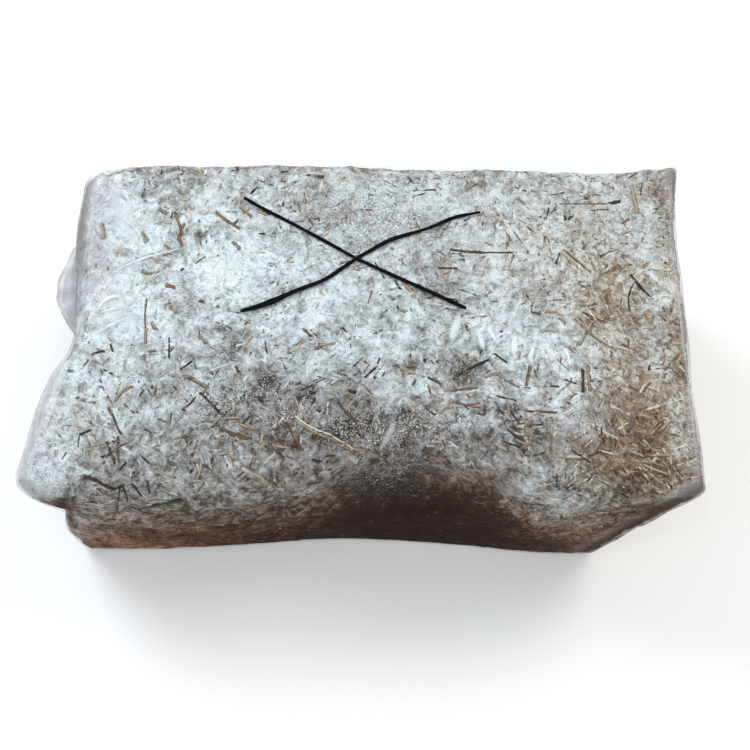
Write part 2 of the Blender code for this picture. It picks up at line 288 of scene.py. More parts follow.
# Straws that stand out: x, y of both ends, width, how dark, and on some rows how far they bow sideways
MARKED_STRAWS = (
    (-158, -73, -152, -70, 1.6, 0.85),
    (-158, -73, -158, -80, 0.8, 0.60),
    (-154, -96, -145, -99, 2.7, 0.75),
    (-146, -99, -137, -104, 1.8, 0.80),
    (-144, -57, -141, -62, 1.7, 0.50),
    (-141, -61, -135, -73, 1.2, 0.75, -0.5),
    (-143, -77, -137, -90, 1.7, 0.70),
    (-137, -74, -135, -89, 1.4, 0.65),
    (-145, -86, -140, -84, 1.4, 0.80),
    (-134, -93, -131, -89, 1.3, 0.80),
    (-133, -102, -133, -117, 1.1, 0.70),
    (-132, -102, -128, -111, 1.1, 0.70, 0.5),
    (-127, -101, -121, -108, 1.3, 0.70),
    (-119, -99, -117, -106, 1.4, 0.60),
    (-141, -54, -132, -44, 2.0, 0.40, 1.7),
    (-117, -114, -99, -110, 3.7, 0.65),
    (-125, -114, -116, -117, 1.5, 0.70, -0.5),
    (-91, -116, -90, -122, 2.3, 0.85),
    (-147, -18, -145, -23, 1.2, 0.75),
    (-128, -9, -127, -18, 1.4, 0.50),
    (-114, -14, -113, -27, 1.2, 0.80),
    (-106, -34, -100, -29, 1.2, 0.80),
    (-125, -23, -121, -22, 1.8, 0.55),
    (-102, -38, -90, -45, 2.2, 0.48),
    (-94, -48, -82, -60, 1.9, 0.75),
    (-101, -57, -96, -51, 1.3, 0.75),
    (-86, -69, -80, -61, 1.5, 0.65),
    (-81, -70, -64, -76, 2.2, 0.58, -0.5),
    (-66, -76, -43, -81, 1.6, 0.45, -0.5),
    (-71, -67, -61, -70, 2.2, 0.40),
    (-64, -50, -59, -54, 1.8, 0.85),
    (-29, -19, -20, -18, 1.6, 0.40),
    (-3, -39, 4, -32, 1.2, 0.85),
    (-18, -54, -7, -66, 1.8, 0.65, -0.6),
    (-12, -47, -8, -47, 2.2, 0.75),
    (-41, -62, -21, -73, 1.3, 0.02, -1.6),
    (-41, -64, -21, -75, 2.0, 0.45, -1.6),
    (-22, -73, -9, -81, 1.3, 0.05),
    (-22, -75, -9, -83, 2.0, 0.50),
    (-11, -81, 4, -86, 3.0, 0.45, 1.1),
    (-44, -67, -36, -82, 2.3, 0.60, -0.5),
    (67, -28, 46, -40, 1.5, 0.90, -0.6),
    (32, -39, 39, -43, 1.2, 0.85),
    (70, -24, 77, -30, 1.2, 0.70),
    (44, -47, 60, -45, 1.6, 0.55),
    (47, -54, 61, -57, 1.8, 0.55),
    (64, -39, 73, -36, 1.8, 0.45),
    (75, -40, 83, -45, 1.3, 0.55),
    (87, -44, 90, -32, 2.0, 0.48),
    (70, -50, 81, -53, 1.3, 0.65),
    (77, -59, 82, -67, 1.3, 0.75),
    (85, -59, 103, -60, 1.6, 0.55),
    (75, -70, 82, -76, 1.7, 0.65),
    (119, -34, 118, -48, 1.8, 0.78),
    (122, -31, 122, -47, 2.0, 0.42),
    (125, -11, 139, -22, 1.9, 0.50, -0.6),
    (127, -4, 118, -19, 1.9, 0.38),
    (47, 44, 66, 42, 1.8, 0.68, -0.6),
    (65, 42, 84, 42, 1.4, 0.62),
    (40, 31, 51, 31, 1.8, 0.60),
    (114, 76, 142, 76, 1.0, 0.48),
    (142, 76, 151, 78, 2.4, 0.75),
    (159, 87, 160, 69, 2.8, 0.35),
    (114, 44, 129, 28, 1.6, 0.50),
    (152, 27, 162, 12, 1.7, 0.82, -0.6),
    (153, 21, 149, 3, 1.2, 0.70, -1.7),
    (142, 35, 147, 30, 2.6, 0.42),
    (-117, 70, -111, 54, 2.0, 0.48),
    (-93, 70, -78, 58, 2.2, 0.45, -0.6),
    (-78, 74, -71, 67, 2.4, 0.45),
    (-114, 50, -111, 62, 1.9, 0.50),
    (-134, 29, -128, 27, 2.4, 0.55),
    (-129, 11, -128, -8, 1.2, 0.58, -0.6),
    (-127, 72, -122, 69, 2.2, 0.46),
    (-113, 52, -111, 46, 2.0, 0.52),
    (-82, 49, -77, 44, 2.6, 0.48),
    (-119, 20, -113, 18, 2.6, 0.50),
    (-115, 5, -111, 2, 2.4, 0.44),
    (-125, -4, -122, -9, 2.2, 0.48),
    (-97, -13, -92, -18, 2.6, 0.48),
    (-68, 71, -62, 68, 2.6, 0.46),
    (-43, 77, -42, 70, 2.0, 0.48),
    (-37, 66, -34, 61, 1.6, 0.56),
    (-40, 84, -39, 76, 1.6, 0.50),
    (-136, 56, -132, 49, 3.2, 0.54),
    (-161, 62, -159, 51, 3.4, 0.48, 0.6),
    (-122, 47, -118, 44, 2.0, 0.52),
)

# The marked straws: width against the table's, thickness, depth, how much darker the dark ones are, and the
# ground that they know of, with painted shade that grows towards the near side
MARKED_WIDER = 1.15
MARKED_THICKNESS = 0.4
MARKED_THICKEST = 0.6 * MM
MARKED_SINK = 0.05
MARKED_DARKER = 0.14
MARKED_GROWTH = 0.25
MARKED_WARMTH = 0.3
MARKED_PAINTED_SHADE = 0.6
MARKED_STATIONS = 7

# Slivers of straw: how unevenly wide and thick each is, how far its edges lean and its ends are cut askew,
# its thickness below its line, and how much painted shade darkens the edges of its sides
SLIVER_WIDTHS = (0.78, 1.12)
SLIVER_HEIGHTS = (0.8, 1.1)
EDGE_LEAN = 0.3
END_SKEW = 0.8
SLIVER_BELOW = 0.6
SLIVER_EDGE_SHADES = (0.2, 1.0)

# Scattered straw: its lie's usual heading, drift over the block and spread in radians, its length against its
# kind's typical one, its thickness against its width, how many fewer lie where painted shade is laid, how
# much darker it is on bare ground, and its tone's limits
LIE_HEADING = 0.4
LIE_DRIFT = 3.0
LIE_SIZE = 45 * MM
LIE_SPREAD = 0.8
LENGTH_LIMITS = (0.35, 3.0)
SLIVER_THICKNESS = (0.25, 0.5)
SLIVER_THICKEST = 0.5 * MM
PAINTED_SHADE_FEWER = 0.9
BARE_DARKER = 0.35
TONE_LIMITS = (0.02, 0.98)

# Kinds of scattered pieces, in mm: count, typical length and its spread, bend, width from and to, stations
# along each, how deep it is sunk, its tone and that tone's spread, and how dense it lies by growth and warmth
WHITE_THREADS = dict(
    count=3600, length=9.0, spread=0.45, bend=0.25, width=(1.2, 3.0), stations=4, sink=(0.5, 0.95),
    tone=(0.28, 0.25),
    density=lambda growth, warmth: 0.03 + ease(growth, 0.30, 0.65),
)
TAN_STRAW = dict(
    count=2900, length=8.5, spread=0.45, bend=0.08, width=(1.4, 3.6), stations=3, sink=(0.3, 0.9),
    tone=(0.36, 0.15),
    density=lambda growth, warmth: (0.04 + 0.16 * thinness(growth) + 0.82 * warmth) * ease(growth, 0.15, 0.5),
)
BROWN_STRAW = dict(
    count=1600, length=5.4, spread=0.55, bend=0.06, width=(0.8, 2.2), stations=3, sink=(0.0, 0.6),
    tone=(0.76, 0.13),
    density=lambda growth, warmth: 0.03 + 0.6 * thinness(growth) + 0.12 * warmth,
)
CHIPS = dict(
    count=1900, length=1.5, spread=0.45, bend=0.0, width=(0.5, 1.3), stations=2, sink=(0.0, 0.5),
    tone=(0.75, 0.22),
    density=lambda growth, warmth: 0.08 + 0.5 * thinness(growth) + 0.3 * warmth,
)

# Beads of water: how many, radius, its spread and limits, depth of their rims under the film, and a dome's
# rings as (height, width) and top, against its radius
BEAD_COUNT = 8000
BEAD_RADIUS = 0.34 * MM
BEAD_SPREAD = 0.3
BEAD_LIMITS = (0.18 * MM, 0.8 * MM)
BEADS_UNDER = 0.10 * MM
BEAD_SIDES = 6
BEAD_RINGS = ((0.0, 1.0), (0.55, 0.75))
BEAD_TOP = 0.8

# The cut mark: each stroke's points as (x, y, width), how much wider the ink is than those widths, and how
# unevenly it is edged. The ink's line is found at points a pitch apart, smoothed over a reach of them. It
# stands this high off the film at its edges, and this much higher in the middle
CUT_MARK = (
    (
        (-76.6, 80.6, 1.5), (-66.4, 73.6, 2.0), (-45.0, 61.0, 1.8), (-26.0, 49.2, 2.0), (-8.0, 37.6, 1.8),
        (14.5, 25.8, 2.0), (40.4, 12.6, 2.1), (46.6, 9.0, 2.1), (55.5, 4.6, 1.7),
    ),
    (
        (-74.7, 2.9, 1.8), (-66.0, 5.2, 2.7), (-56.0, 9.2, 3.2), (-48.0, 13.8, 2.6), (-40.7, 17.3, 2.2),
        (-26.3, 23.3, 2.2), (-7.8, 38.1, 2.0), (12.0, 51.0, 2.3), (35.6, 58.8, 1.8), (50.0, 66.5, 2.1),
        (66.4, 70.1, 1.4),
    ),
)
MARK_WIDER = 1.2
MARK_WOBBLE = 0.2
MARK_WOBBLE_SIZE = 5.0
MARK_PITCH = 0.8
MARK_REACH = 11
MARK_EDGE_HEIGHT = 0.08
MARK_HUMP = 0.08

# A fold's section as (place across, height, milkiness, darkness), where the milk is partly a painted
# highlight and the darkness painted shade, how far folds stand off the film in mm, and their line's pitch in
# mm and its smoothing reach in points
FOLD_SECTION = (
    (-1.0, 0.0, 0.0, 0.0),
    (-0.5, 0.14, 0.8, 0.0),
    (0.0, 0.24, 1.0, 0.0),
    (0.4, 0.14, 0.8, 1.0),
    (1.0, 0.0, 0.0, 1.0),
)
FOLD_OFF = 0.05
FOLD_PITCH = 1.2
FOLD_REACH = 3

# Folds pressed into the film: points, then width, milkiness, partly painted highlight, and painted shade as
# darkness of the side that is shaded, if any
FILM_FOLDS = (
    (((-156, 70), (-146, 62), (-137, 53)), 1.6, 0.5, 0.8),
    (((-162, 94), (-155, 80), (-146, 66), (-137, 53)), 1.2, 0.6, 0.1),
    (((-153, 27), (-144, 33), (-132, 39), (-121, 42), (-111, 45)), 2.4, 0.9, 0.6),
    (((-155, 25), (-146, 30), (-134, 35), (-122, 38)), 1.2, 0.5, 0.4),
    (((-147, 29), (-134, 28)), 1.2, 0.7, 0.4),
    # Painted glints: these three folds are white strokes where light would catch the film
    (((-157, 2), (-155, 8), (-151, 12), (-143, 13)), 3.2, 1.0, 0.1),
    (((-156, 1), (-150, 4), (-142, 5)), 2.0, 0.9, 0.1),
    (((-157, -12), (-148, -6), (-137, 0)), 2.6, 0.9, 0.1),
    (((-164, 89), (-166, 70), (-167, 50), (-167, 32), (-166, 10), (-164, -6), (-162, -17)), 1.6, 0.2, 0.6),
    (((-167, -22), (-171, -40), (-175, -62), (-180, -84)), 1.4, 0.5, 0.4),
    (((-168, -53), (-172, -69), (-176, -87)), 1.1, 0.4, 0.5),
    (((-168, -29), (-173, -48)), 1.1, 0.4, 0.5),
    (((177, 70), (175, 54), (175, 36), (173, 16)), 1.6, 0.2, 0.8),
    (((183, 93), (178, 50), (178, 17), (177, -40), (176, -93)), 1.4, 0.3, 0.6),
    # Painted glints: the next seven folds are white strokes where light would catch wrinkles of the film
    (((51, 2), (50, -4), (48, -11), (46, -18)), 6.0, 0.75),
    (((62, -9), (63, -16), (64, -22)), 4.4, 0.75),
    (((107, -19), (110, -21), (112, -26), (112, -32)), 2.0, 0.95),
    (((82, -12), (82, -19), (81, -26)), 4.6, 0.75),
    (((87, -14), (88, -22)), 2.6, 0.5),
    (((93, -19), (90, -26), (91, -32)), 3.6, 0.85),
    (((68, -7), (70, -14), (73, -19)), 2.8, 0.75),
    (((14, -65), (10, -74), (5, -82)), 5.0, 0.40),
    (((-40, 10), (-30, 13), (-23, 10)), 1.2, 0.5),
    (((23, -19), (31, -14), (40, -14)), 1.2, 0.5),
    (((-95, -37), (-83, -32), (-75, -29)), 1.2, 0.6),
)

# Folds on the sides that the photograph doesn't show: points as x, y, z in mm, then the same
SIDE_FOLDS = (
    (((168, -96, 62), (168, -50, 62), (169, 0, 62), (169, 50, 62), (170, 96, 62)), 3.0, 0.7, 0.3),
    (((168, -96, 66), (169, 0, 66), (170, 96, 66)), 1.4, 0.5, 0.5),
    (((168, -92, 62), (176, -98, 92), (183, -102, 120)), 1.8, 0.5, 0.5),
    (((168, -92, 62), (158, -98, 32), (150, -103, 4)), 1.8, 0.5, 0.5),
    (((169, 92, 62), (178, 96, 92), (188, 101, 120)), 1.8, 0.5, 0.5),
    (((169, 92, 62), (163, 96, 32), (158, 101, 4)), 1.8, 0.5, 0.5),
    (((-180, 108, 62), (-90, 112, 61), (0, 112, 62), (90, 109, 61), (160, 106, 62)), 1.6, 0.4, 0.4),
    (((-176, -100, 62), (-90, -104, 61), (-30, -100, 62)), 1.4, 0.15, 0.8),
    (((120, 106, 62), (150, 106, 90), (176, 105, 118)), 1.4, 0.4, 0.4),
    (((-176, 100, 112), (-176, 60, 80), (-180, 30, 40), (-182, 0, 10)), 1.6, 0.4, 0.4),
    (((-176, -20, 96), (-180, -50, 60), (-183, -80, 20)), 1.6, 0.4, 0.4),
    (((-178, 80, 60), (-180, 30, 58), (-180, -40, 60)), 1.4, 0.3, 0.5),
)

# Milky places of the film, where it is doubled or pulled, and one along the near side's foot at the right
# that is painted reflection: x, y of both ends, half width at both, milkiness, darkness
MILKY = (
    (-160, 92, -140, 57, 2.5, 8.0, 0.45, 0.0),
    (-167, 82, -161, 16, 11.0, 10.0, 0.32, 0.34),
    (-150, 20, -146, -2, 8.0, 10.0, 0.22, 0.0),
    (-175, 95, -173, -18, 6.0, 5.5, 0.75, 0.66),
    (-174, -22, -187, -86, 5.0, 3.6, 0.55, 0.20),
    (-188, -84, -186, -100, 3.0, 3.0, 0.45, 0.16),
    (-186, -100, -170, -112, 3.2, 2.6, 0.42, 0.50),
    (189, 95, 183, -100, 6.5, 5.5, 0.85, 1.00),
    # Painted reflection of a brown table, with painted shade, along the near side's foot
    (180, -102, 112, -140, 4.0, 4.0, 0.75, 0.80),
)

# Colours by a number, as (place, sRGB hex): the skin by its depth, the straw in it, painted shade (the dark
# brown of the near side's shade and a brown table's reflection), milky film, then the loose pieces by tone
COVER_STOPS = (
    (0.00, "#2C231D"), (0.14, "#4F4439"), (0.28, "#6E6A65"), (0.42, "#8E8E8D"),
    (0.56, "#A6AAAB"), (0.70, "#BEC4C6"), (0.84, "#D0D9DC"), (1.00, "#E3EDF0"),
)
TAN_STOPS = ((0.34, "#6B5C46"), (0.50, "#9F9178"), (0.66, "#C9BDA3"))
PAINTED_SHADE_STOPS = ((0.0, "#24130A"), (0.25, "#4A2A14"), (0.5, "#784D30"), (0.8, "#9C7656"))
MILK_STOPS = ((0.0, "#F0F5F8"), (0.3, "#CFC9CE"), (0.6, "#9A938F"), (1.0, "#4A3E36"))
THREAD_STOPS = ((0.0, "#DCE6E9"), (0.3, "#CDD3D4"), (0.6, "#B9B9B3"), (0.8, "#A09C92"), (1.0, "#7F7A70"))
STRAW_STOPS = (
    (0.00, "#E6E2DA"), (0.20, "#CCC2B1"), (0.40, "#AA9C84"), (0.55, "#85755B"),
    (0.70, "#614E38"), (0.85, "#3C2D20"), (1.00, "#1F150D"),
)

# Settings that many shader nodes share
TIMES = dict(operation="MULTIPLY")
TIMES_PLUS = dict(operation="MULTIPLY_ADD")
SMOOTH = dict(interpolation_type="SMOOTHSTEP")
BLEND = dict(data_type="RGBA")
TINT = dict(data_type="RGBA", blend_type="MULTIPLY")

# How far streaks may turn in radians, so that they lie any way
WHOLE_TURN = 6.283

# The stage: the floor's half side, the room's light, and lamps as name, place, size, power, colour
FLOOR_HALF = 4.0
ROOM_COLOUR = "#F4F8FC"
ROOM_LIGHT = 0.70
LAMPS_AIM = Vector((0, 0, 0.06))
LAMPS = (
    ("left softbox", (-0.85, 0.80, 1.10), 0.80, 13.0, "#EDF5FF"),
    ("right softbox", (0.90, 0.60, 1.15), 0.70, 7.0, "#FFF3E4"),
    ("front fill", (0.10, -1.30, 0.95), 1.00, 5.5, "#FFFFFF"),
    ("glint", (-0.30, -0.35, 1.60), 0.10, 0.9, "#FFFFFF"),
)


def ease(value, start, end):
    """0 at start and 1 at end, smooth between."""
    share = np.clip((value - start) / (end - start), 0.0, 1.0)
    return share * share * (3.0 - 2.0 * share)


def bell(value, middle, spread):
    """1 at the middle, about a third at one spread from it, and next to nothing beyond two."""
    return np.exp(-(((value - middle) / spread) ** 2))


def follow(points, place):
    """The outline's value at each place, on a smooth curve through its points, and level beyond them."""
    places, values = np.array(points).T
    padded = np.pad(np.array(points), ((1, 1), (0, 0)), mode="edge")
    slopes = (padded[2:, 1] - padded[:-2, 1]) / (padded[2:, 0] - padded[:-2, 0])
    i = np.clip(np.searchsorted(places, place) - 1, 0, len(places) - 2)
    span = places[i + 1] - places[i]
    share = np.clip((place - places[i]) / span, 0.0, 1.0)
    bend = slopes[i] * share * (1.0 - share) ** 2 - slopes[i + 1] * share**2 * (1.0 - share)
    return values[i] + (values[i + 1] - values[i]) * ease(place, places[i], places[i + 1]) + bend * span


def thinness(growth):
    """1 where little mycelium covers the straw, 0 where it covers all."""
    return ease(-growth, -1.0, -0.4)


def noise_at(points, size, seed):
    """Smooth noise from about -1 to 1 at each point, with lumps of this size."""
    return np.array([noise.noise(Vector(point)) for point in points / size + np.array(seed)])


def unit(ways):
    """The ways made 1 long."""
    return ways / np.maximum(np.linalg.norm(ways, axis=-1, keepdims=True), 1e-9)


def edge_radius(points):
    """How round the box's edges are near each point."""
    x, y, z = points.T
    left_share = 1.0 - ease(x, *NEAR_RADIUS_CHANGES)
    near = NEAR_TOP_RADIUS + (NEAR_TOP_LEFT_RADIUS - NEAR_TOP_RADIUS) * left_share
    high = z >= HEIGHT / 2
    side = np.where(high, np.where(y < 0, near, FAR_TOP_RADIUS), BOTTOM_RADIUS)
    from_left, from_right = HALF_LENGTH + x, HALF_LENGTH - x
    at_end = 1.0 - np.where(x < 0, ease(from_left, *LEFT_END_ROUNDS), ease(from_right, *RIGHT_END_ROUNDS))
    end = np.where(high, np.where(x < 0, LEFT_END_RADIUS, WELD_RADIUS), BOTTOM_RADIUS)
    return side + (end - side) * at_end


def rounded(points, inset, softer):
    """The box's points moved onto the rounded box, inset from it by a fixed distance."""
    reach = (edge_radius(points) + softer)[:, None]
    low = np.array((-HALF_LENGTH, -HALF_WIDTH, 0.0)) + reach
    high = np.array((HALF_LENGTH, HALF_WIDTH, HEIGHT)) - reach
    core = np.clip(points, low, high)
    return core + unit(points - core) * (reach - inset)


def left_shift(y, z):
    """How far right of the box's left side the left end's surface is."""
    outline = LEFT_BASE_X + (follow(LEFT_OUTLINE, y) - LEFT_BASE_X) * ease(z, *LEFT_TAPER_Z)
    near_corner = bell(y, EAR_Y, EAR_SPREAD_Y)
    ear = EAR_REACH * near_corner * bell(z, EAR_Z, EAR_SPREAD_Z)
    undercut = UNDERCUT_DEPTH * near_corner * bell(z, UNDERCUT_Z, UNDERCUT_SPREAD_Z)
    return outline + HALF_LENGTH - ear + undercut


def right_shift(y, z):
    """How far right of the box's right side the leaning right end's surface is."""
    lean = FAR_LEAN + (NEAR_LEAN - FAR_LEAN) * ease(-y, -HALF_WIDTH, HALF_WIDTH)
    return follow(RIGHT_OUTLINE, y) - lean * (HEIGHT - z) - HALF_LENGTH


def near_shift(x, z):
    """How far into the box the near side's surface is."""
    dent = DENT_DEPTH * bell(x, DENT_X, DENT_SPREAD_X) * bell(z, DENT_Z, DENT_SPREAD_Z)
    return follow(NEAR_BASE_OUTLINE, x) + HALF_WIDTH + dent * ease(z, 0.0, DENT_FADES_BELOW)


def outward(points):
    """Roughly the way out of the block at each point of the rounded box."""
    return unit((points - np.array((0.0, 0.0, HEIGHT / 2))) * OUTWARD_WEIGHTS)


def shaped(points):
    """The rounded box's points carried to where the real block's surface is."""
    x, y, z = points.T.copy()
    x += left_shift(y, z) * ease(-points[:, 0], HALF_LENGTH - LEFT_FALLOFF, HALF_LENGTH)
    x += right_shift(y, z) * ease(points[:, 0], HALF_LENGTH - RIGHT_FALLOFF, HALF_LENGTH)
    y += near_shift(x, z) * ease(-points[:, 1], 0.0, HALF_WIDTH)
    y += (follow(FAR_TOP_OUTLINE, x) - HALF_WIDTH) * ease(points[:, 1], 0.0, HALF_WIDTH)
    above_base = ease(z, *LUMPS_START_Z)
    wide_face = ease(z, HEIGHT - TOP_FORMS_DOWN_TO, HEIGHT)
    for form_x, form_y, spread, height in TOP_FORMS:
        z += height * bell(np.hypot(x - form_x, y - form_y), 0.0, spread) * wide_face
    lift = LUMP_HEIGHT * noise_at(points, LUMP_SIZE, LUMP_SEED) * above_base
    return np.stack((x, y, z), 1) + outward(points) * lift[:, None]


def box_grid(pitch):
    """Points over the plain box's surface about a pitch apart, and the quads between them, facing out."""
    sides = (LENGTH, WIDTH, HEIGHT)
    counts = [round(side / pitch) for side in sides]
    starts = (-HALF_LENGTH, -HALF_WIDTH, 0.0)
    lines = [start + np.linspace(0.0, side, n + 1) for start, side, n in zip(starts, sides, counts)]
    strides = ((counts[1] + 1) * (counts[2] + 1), counts[2] + 1, 1)
    quads = []
    for across in range(3):
        u, v = (across + 1) % 3, (across + 2) % 3
        i, j = np.meshgrid(np.arange(counts[u]), np.arange(counts[v]), indexing="ij")
        corner = i.ravel() * strides[u] + j.ravel() * strides[v]
        quad = corner[:, None] + np.array((0, strides[u], strides[u] + strides[v], strides[v]))
        quads.append(quad + counts[across] * strides[across])
        quads.append(quad[:, ::-1])
    quads = np.concatenate(quads)
    used, quads = np.unique(quads, return_inverse=True)
    index = np.unravel_index(used, [n + 1 for n in counts])
    points = np.stack([line[i] for line, i in zip(lines, index)], 1)
    return points, quads.reshape(-1, 4)


def vertex_normals(points, quads):
    """The unit normal at each point of a mesh of quads."""
    a, b, c, d = (points[quads[:, i]] for i in range(4))
    across = np.cross(c - a, d - b)
    total = np.zeros_like(points)
    for i in range(4):
        np.add.at(total, quads[:, i], across)
    return unit(total)


def seen_on_face(points, normals):
    """Where each point is seen on the plane of the wide face, in mm, and 1 where it faces the camera or 0."""
    away = CAMERA_PLACE - points
    share = (HEIGHT - points[:, 2]) / away[:, 2]
    place = (points + away * share[:, None])[:, :2] / MM
    facing = (normals * unit(away)).sum(1)
    return place, ease(facing, -0.05, 0.20)


def growth_at(points, normals):
    """What the ground is like at each point, by GROUND_LABELS."""
    place, seen = seen_on_face(points, normals)
    x, y = place.T
    sides = dict(all=1.0, seen=seen, hidden=1.0 - seen)
    measures = dict(right=points[:, 0] / MM, near=-y, high=points[:, 2] / MM)
    ground = {label: np.zeros(len(points)) for label in GROUND_LABELS}
    for label, side, level, strength, size, seed in GROUND_NOISE:
        ground[label] += (level + strength * noise_at(points, size * MM, seed)) * sides[side]
    for label, side, more, measure, start, end in GROUND_SLOPES:
        ground[label] += more * ease(measures[measure], start, end) * sides[side]
    for middle_x, middle_y, spread_x, spread_y, *changes in PATCHES:
        share = bell(x, middle_x, spread_x) * bell(y, middle_y, spread_y) * seen
        for label, more in zip(GROUND_LABELS, changes):
            ground[label] += more * share
    for label in GROUND_LABELS[1:]:
        ground[label] = np.clip(ground[label], 0.0, 1.0)
    return ground


def milk_at(points, normals):
    """How milky the film is and how dark that milk, at each point."""
    place, facing = seen_on_face(points, normals)
    haze = np.zeros(len(points))
    shade = np.zeros(len(points))
    for x1, y1, x2, y2, half1, half2, milk, dark in MILKY:
        start = np.array((x1, y1), float)
        along = np.array((x2 - x1, y2 - y1), float)
        share = np.clip(((place - start) @ along) / (along @ along), 0.0, 1.0)
        away = np.linalg.norm(place - start - share[:, None] * along, axis=1)
        half = half1 + (half2 - half1) * share
        near = (1.0 - ease(away, 0.0, half * 2.0)) * facing
        haze = np.maximum(haze, milk * near)
        shade = np.maximum(shade, dark * near)
    return haze, shade


def put(name, data):
    """An object of this name in the scene, to hold a mesh, a lamp or a camera."""
    made = bpy.data.objects.new(name, data)
    bpy.context.scene.collection.objects.link(made)
    return made


def mesh_piece(name, material, *parts):
    """One mesh object in the row's frame, from parts as (points, faces, {label: a number at each point})."""
    points, faces, values = [], [], {label: [] for label in parts[0][2]}
    count = 0
    for part_points, part_faces, part_values in parts:
        points.append(part_points)
        faces += [tuple(corner + count for corner in face) for face in part_faces]
        for label in values:
            values[label].append(np.broadcast_to(part_values[label], len(part_points)))
        count += len(part_points)
    data = bpy.data.meshes.new(name)
    data.from_pydata((np.concatenate(points) + ROW_SHIFT).tolist(), [], faces)
    for label, value in values.items():
        attribute = data.attributes.new(label, "FLOAT", "POINT")
        attribute.data.foreach_set("value", np.concatenate(value).astype(np.float32))
    data.shade_smooth()
    data.materials.append(material)
    return put(name, data)


def linear(code):
    """A colour written as an sRGB hex value, turned to linear RGBA."""
    parts = [int(code[i : i + 2], 16) / 255 for i in (1, 3, 5)]
    return (*(c / 12.92 if c <= 0.04045 else ((c + 0.055) / 1.055) ** 2.4 for c in parts), 1.0)


def per_mm(size):
    """The texture scale whose pattern repeats about every size millimetres."""
    return 1000.0 / size


def add_node(tree, kind, *inputs, out="", stops=(), **named):
    """Adds a shader node and gives its first output, or the one named out. Inputs are set or linked in order
    or by name, and words in lower case are the node's own settings. Stops are a ramp's, as (place, hex)."""
    node = tree.nodes.new("ShaderNode" + kind)
    for key, value in named.items():
        if key.islower():
            setattr(node, key, value)
    if stops:
        elements = node.color_ramp.elements
        while len(elements) < len(stops):
            elements.new(0.5)
        for element, (place, code) in zip(elements, stops):
            element.position = place
            element.color = linear(code)
    by_name = {key.replace("_", " "): value for key, value in named.items() if not key.islower()}
    pairs = list(zip([socket for socket in node.inputs if socket.enabled], inputs))
    for socket, value in pairs + [(node.inputs[name], value) for name, value in by_name.items()]:
        if isinstance(value, bpy.types.NodeSocket):
            tree.links.new(value, socket)
        else:
            socket.default_value = value
    return next((socket for socket in node.outputs if socket.enabled and out in ("", socket.name)), None)


def new_material(name, *labels):
    """An empty material, what adds nodes to it, the place on the piece, and the mesh's numbers by label."""
    material = bpy.data.materials.new(name)
    material.use_nodes = True
    material.node_tree.nodes.clear()
    add = partial(add_node, material.node_tree)
    known = [add("Attribute", attribute_name=label, out="Fac") for label in labels]
    return material, add, add("TexCoord", out="Object"), *known


def buried_straw(add, place, cell, long, wide):
    """Streaks that lie a new way in each cell, as chopped straw does, from 0 to 1. Sizes in millimetres."""
    cells = add("TexVoronoi", Vector=place, Scale=per_mm(cell), Randomness=1.0, out="Color")
    turn = add("VectorMath", cells, WHOLE_TURN, operation="SCALE")
    turned = add("VectorRotate", Vector=place, Rotation=turn, rotation_type="EULER_XYZ")
    scale = (per_mm(long), per_mm(wide), per_mm(wide))
    squeezed = add("Mapping", Vector=turned, Scale=scale)
    return add("TexNoise", Vector=squeezed, Scale=1.0, Detail=2.0, Roughness=0.5)


def jogged(add, place, size, reach):
    """The place shifted about by noise, so that straight borders turn ragged. Sizes in millimetres."""
    wander = add("TexNoise", Vector=place, Scale=per_mm(size), Detail=2.0, out="Color")
    centred = add("VectorMath", wander, (0.5, 0.5, 0.5), operation="SUBTRACT")
    step = add("VectorMath", centred, reach * MM, operation="SCALE")
    return add("VectorMath", place, step, operation="ADD")


def ridged(add, place, size, detail, distortion, half):
    """1 along thin wandering lines through noise with lumps of size millimetres, 0 away from them."""
    grain = dict(Scale=per_mm(size), Detail=detail, Roughness=0.7, Distortion=distortion)
    centred = add("Math", add("TexNoise", Vector=place, **grain), 2.0, -1.0, **TIMES_PLUS)
    away = add("Math", centred, operation="ABSOLUTE")
    return add("MapRange", away, half, 0.0, **SMOOTH)


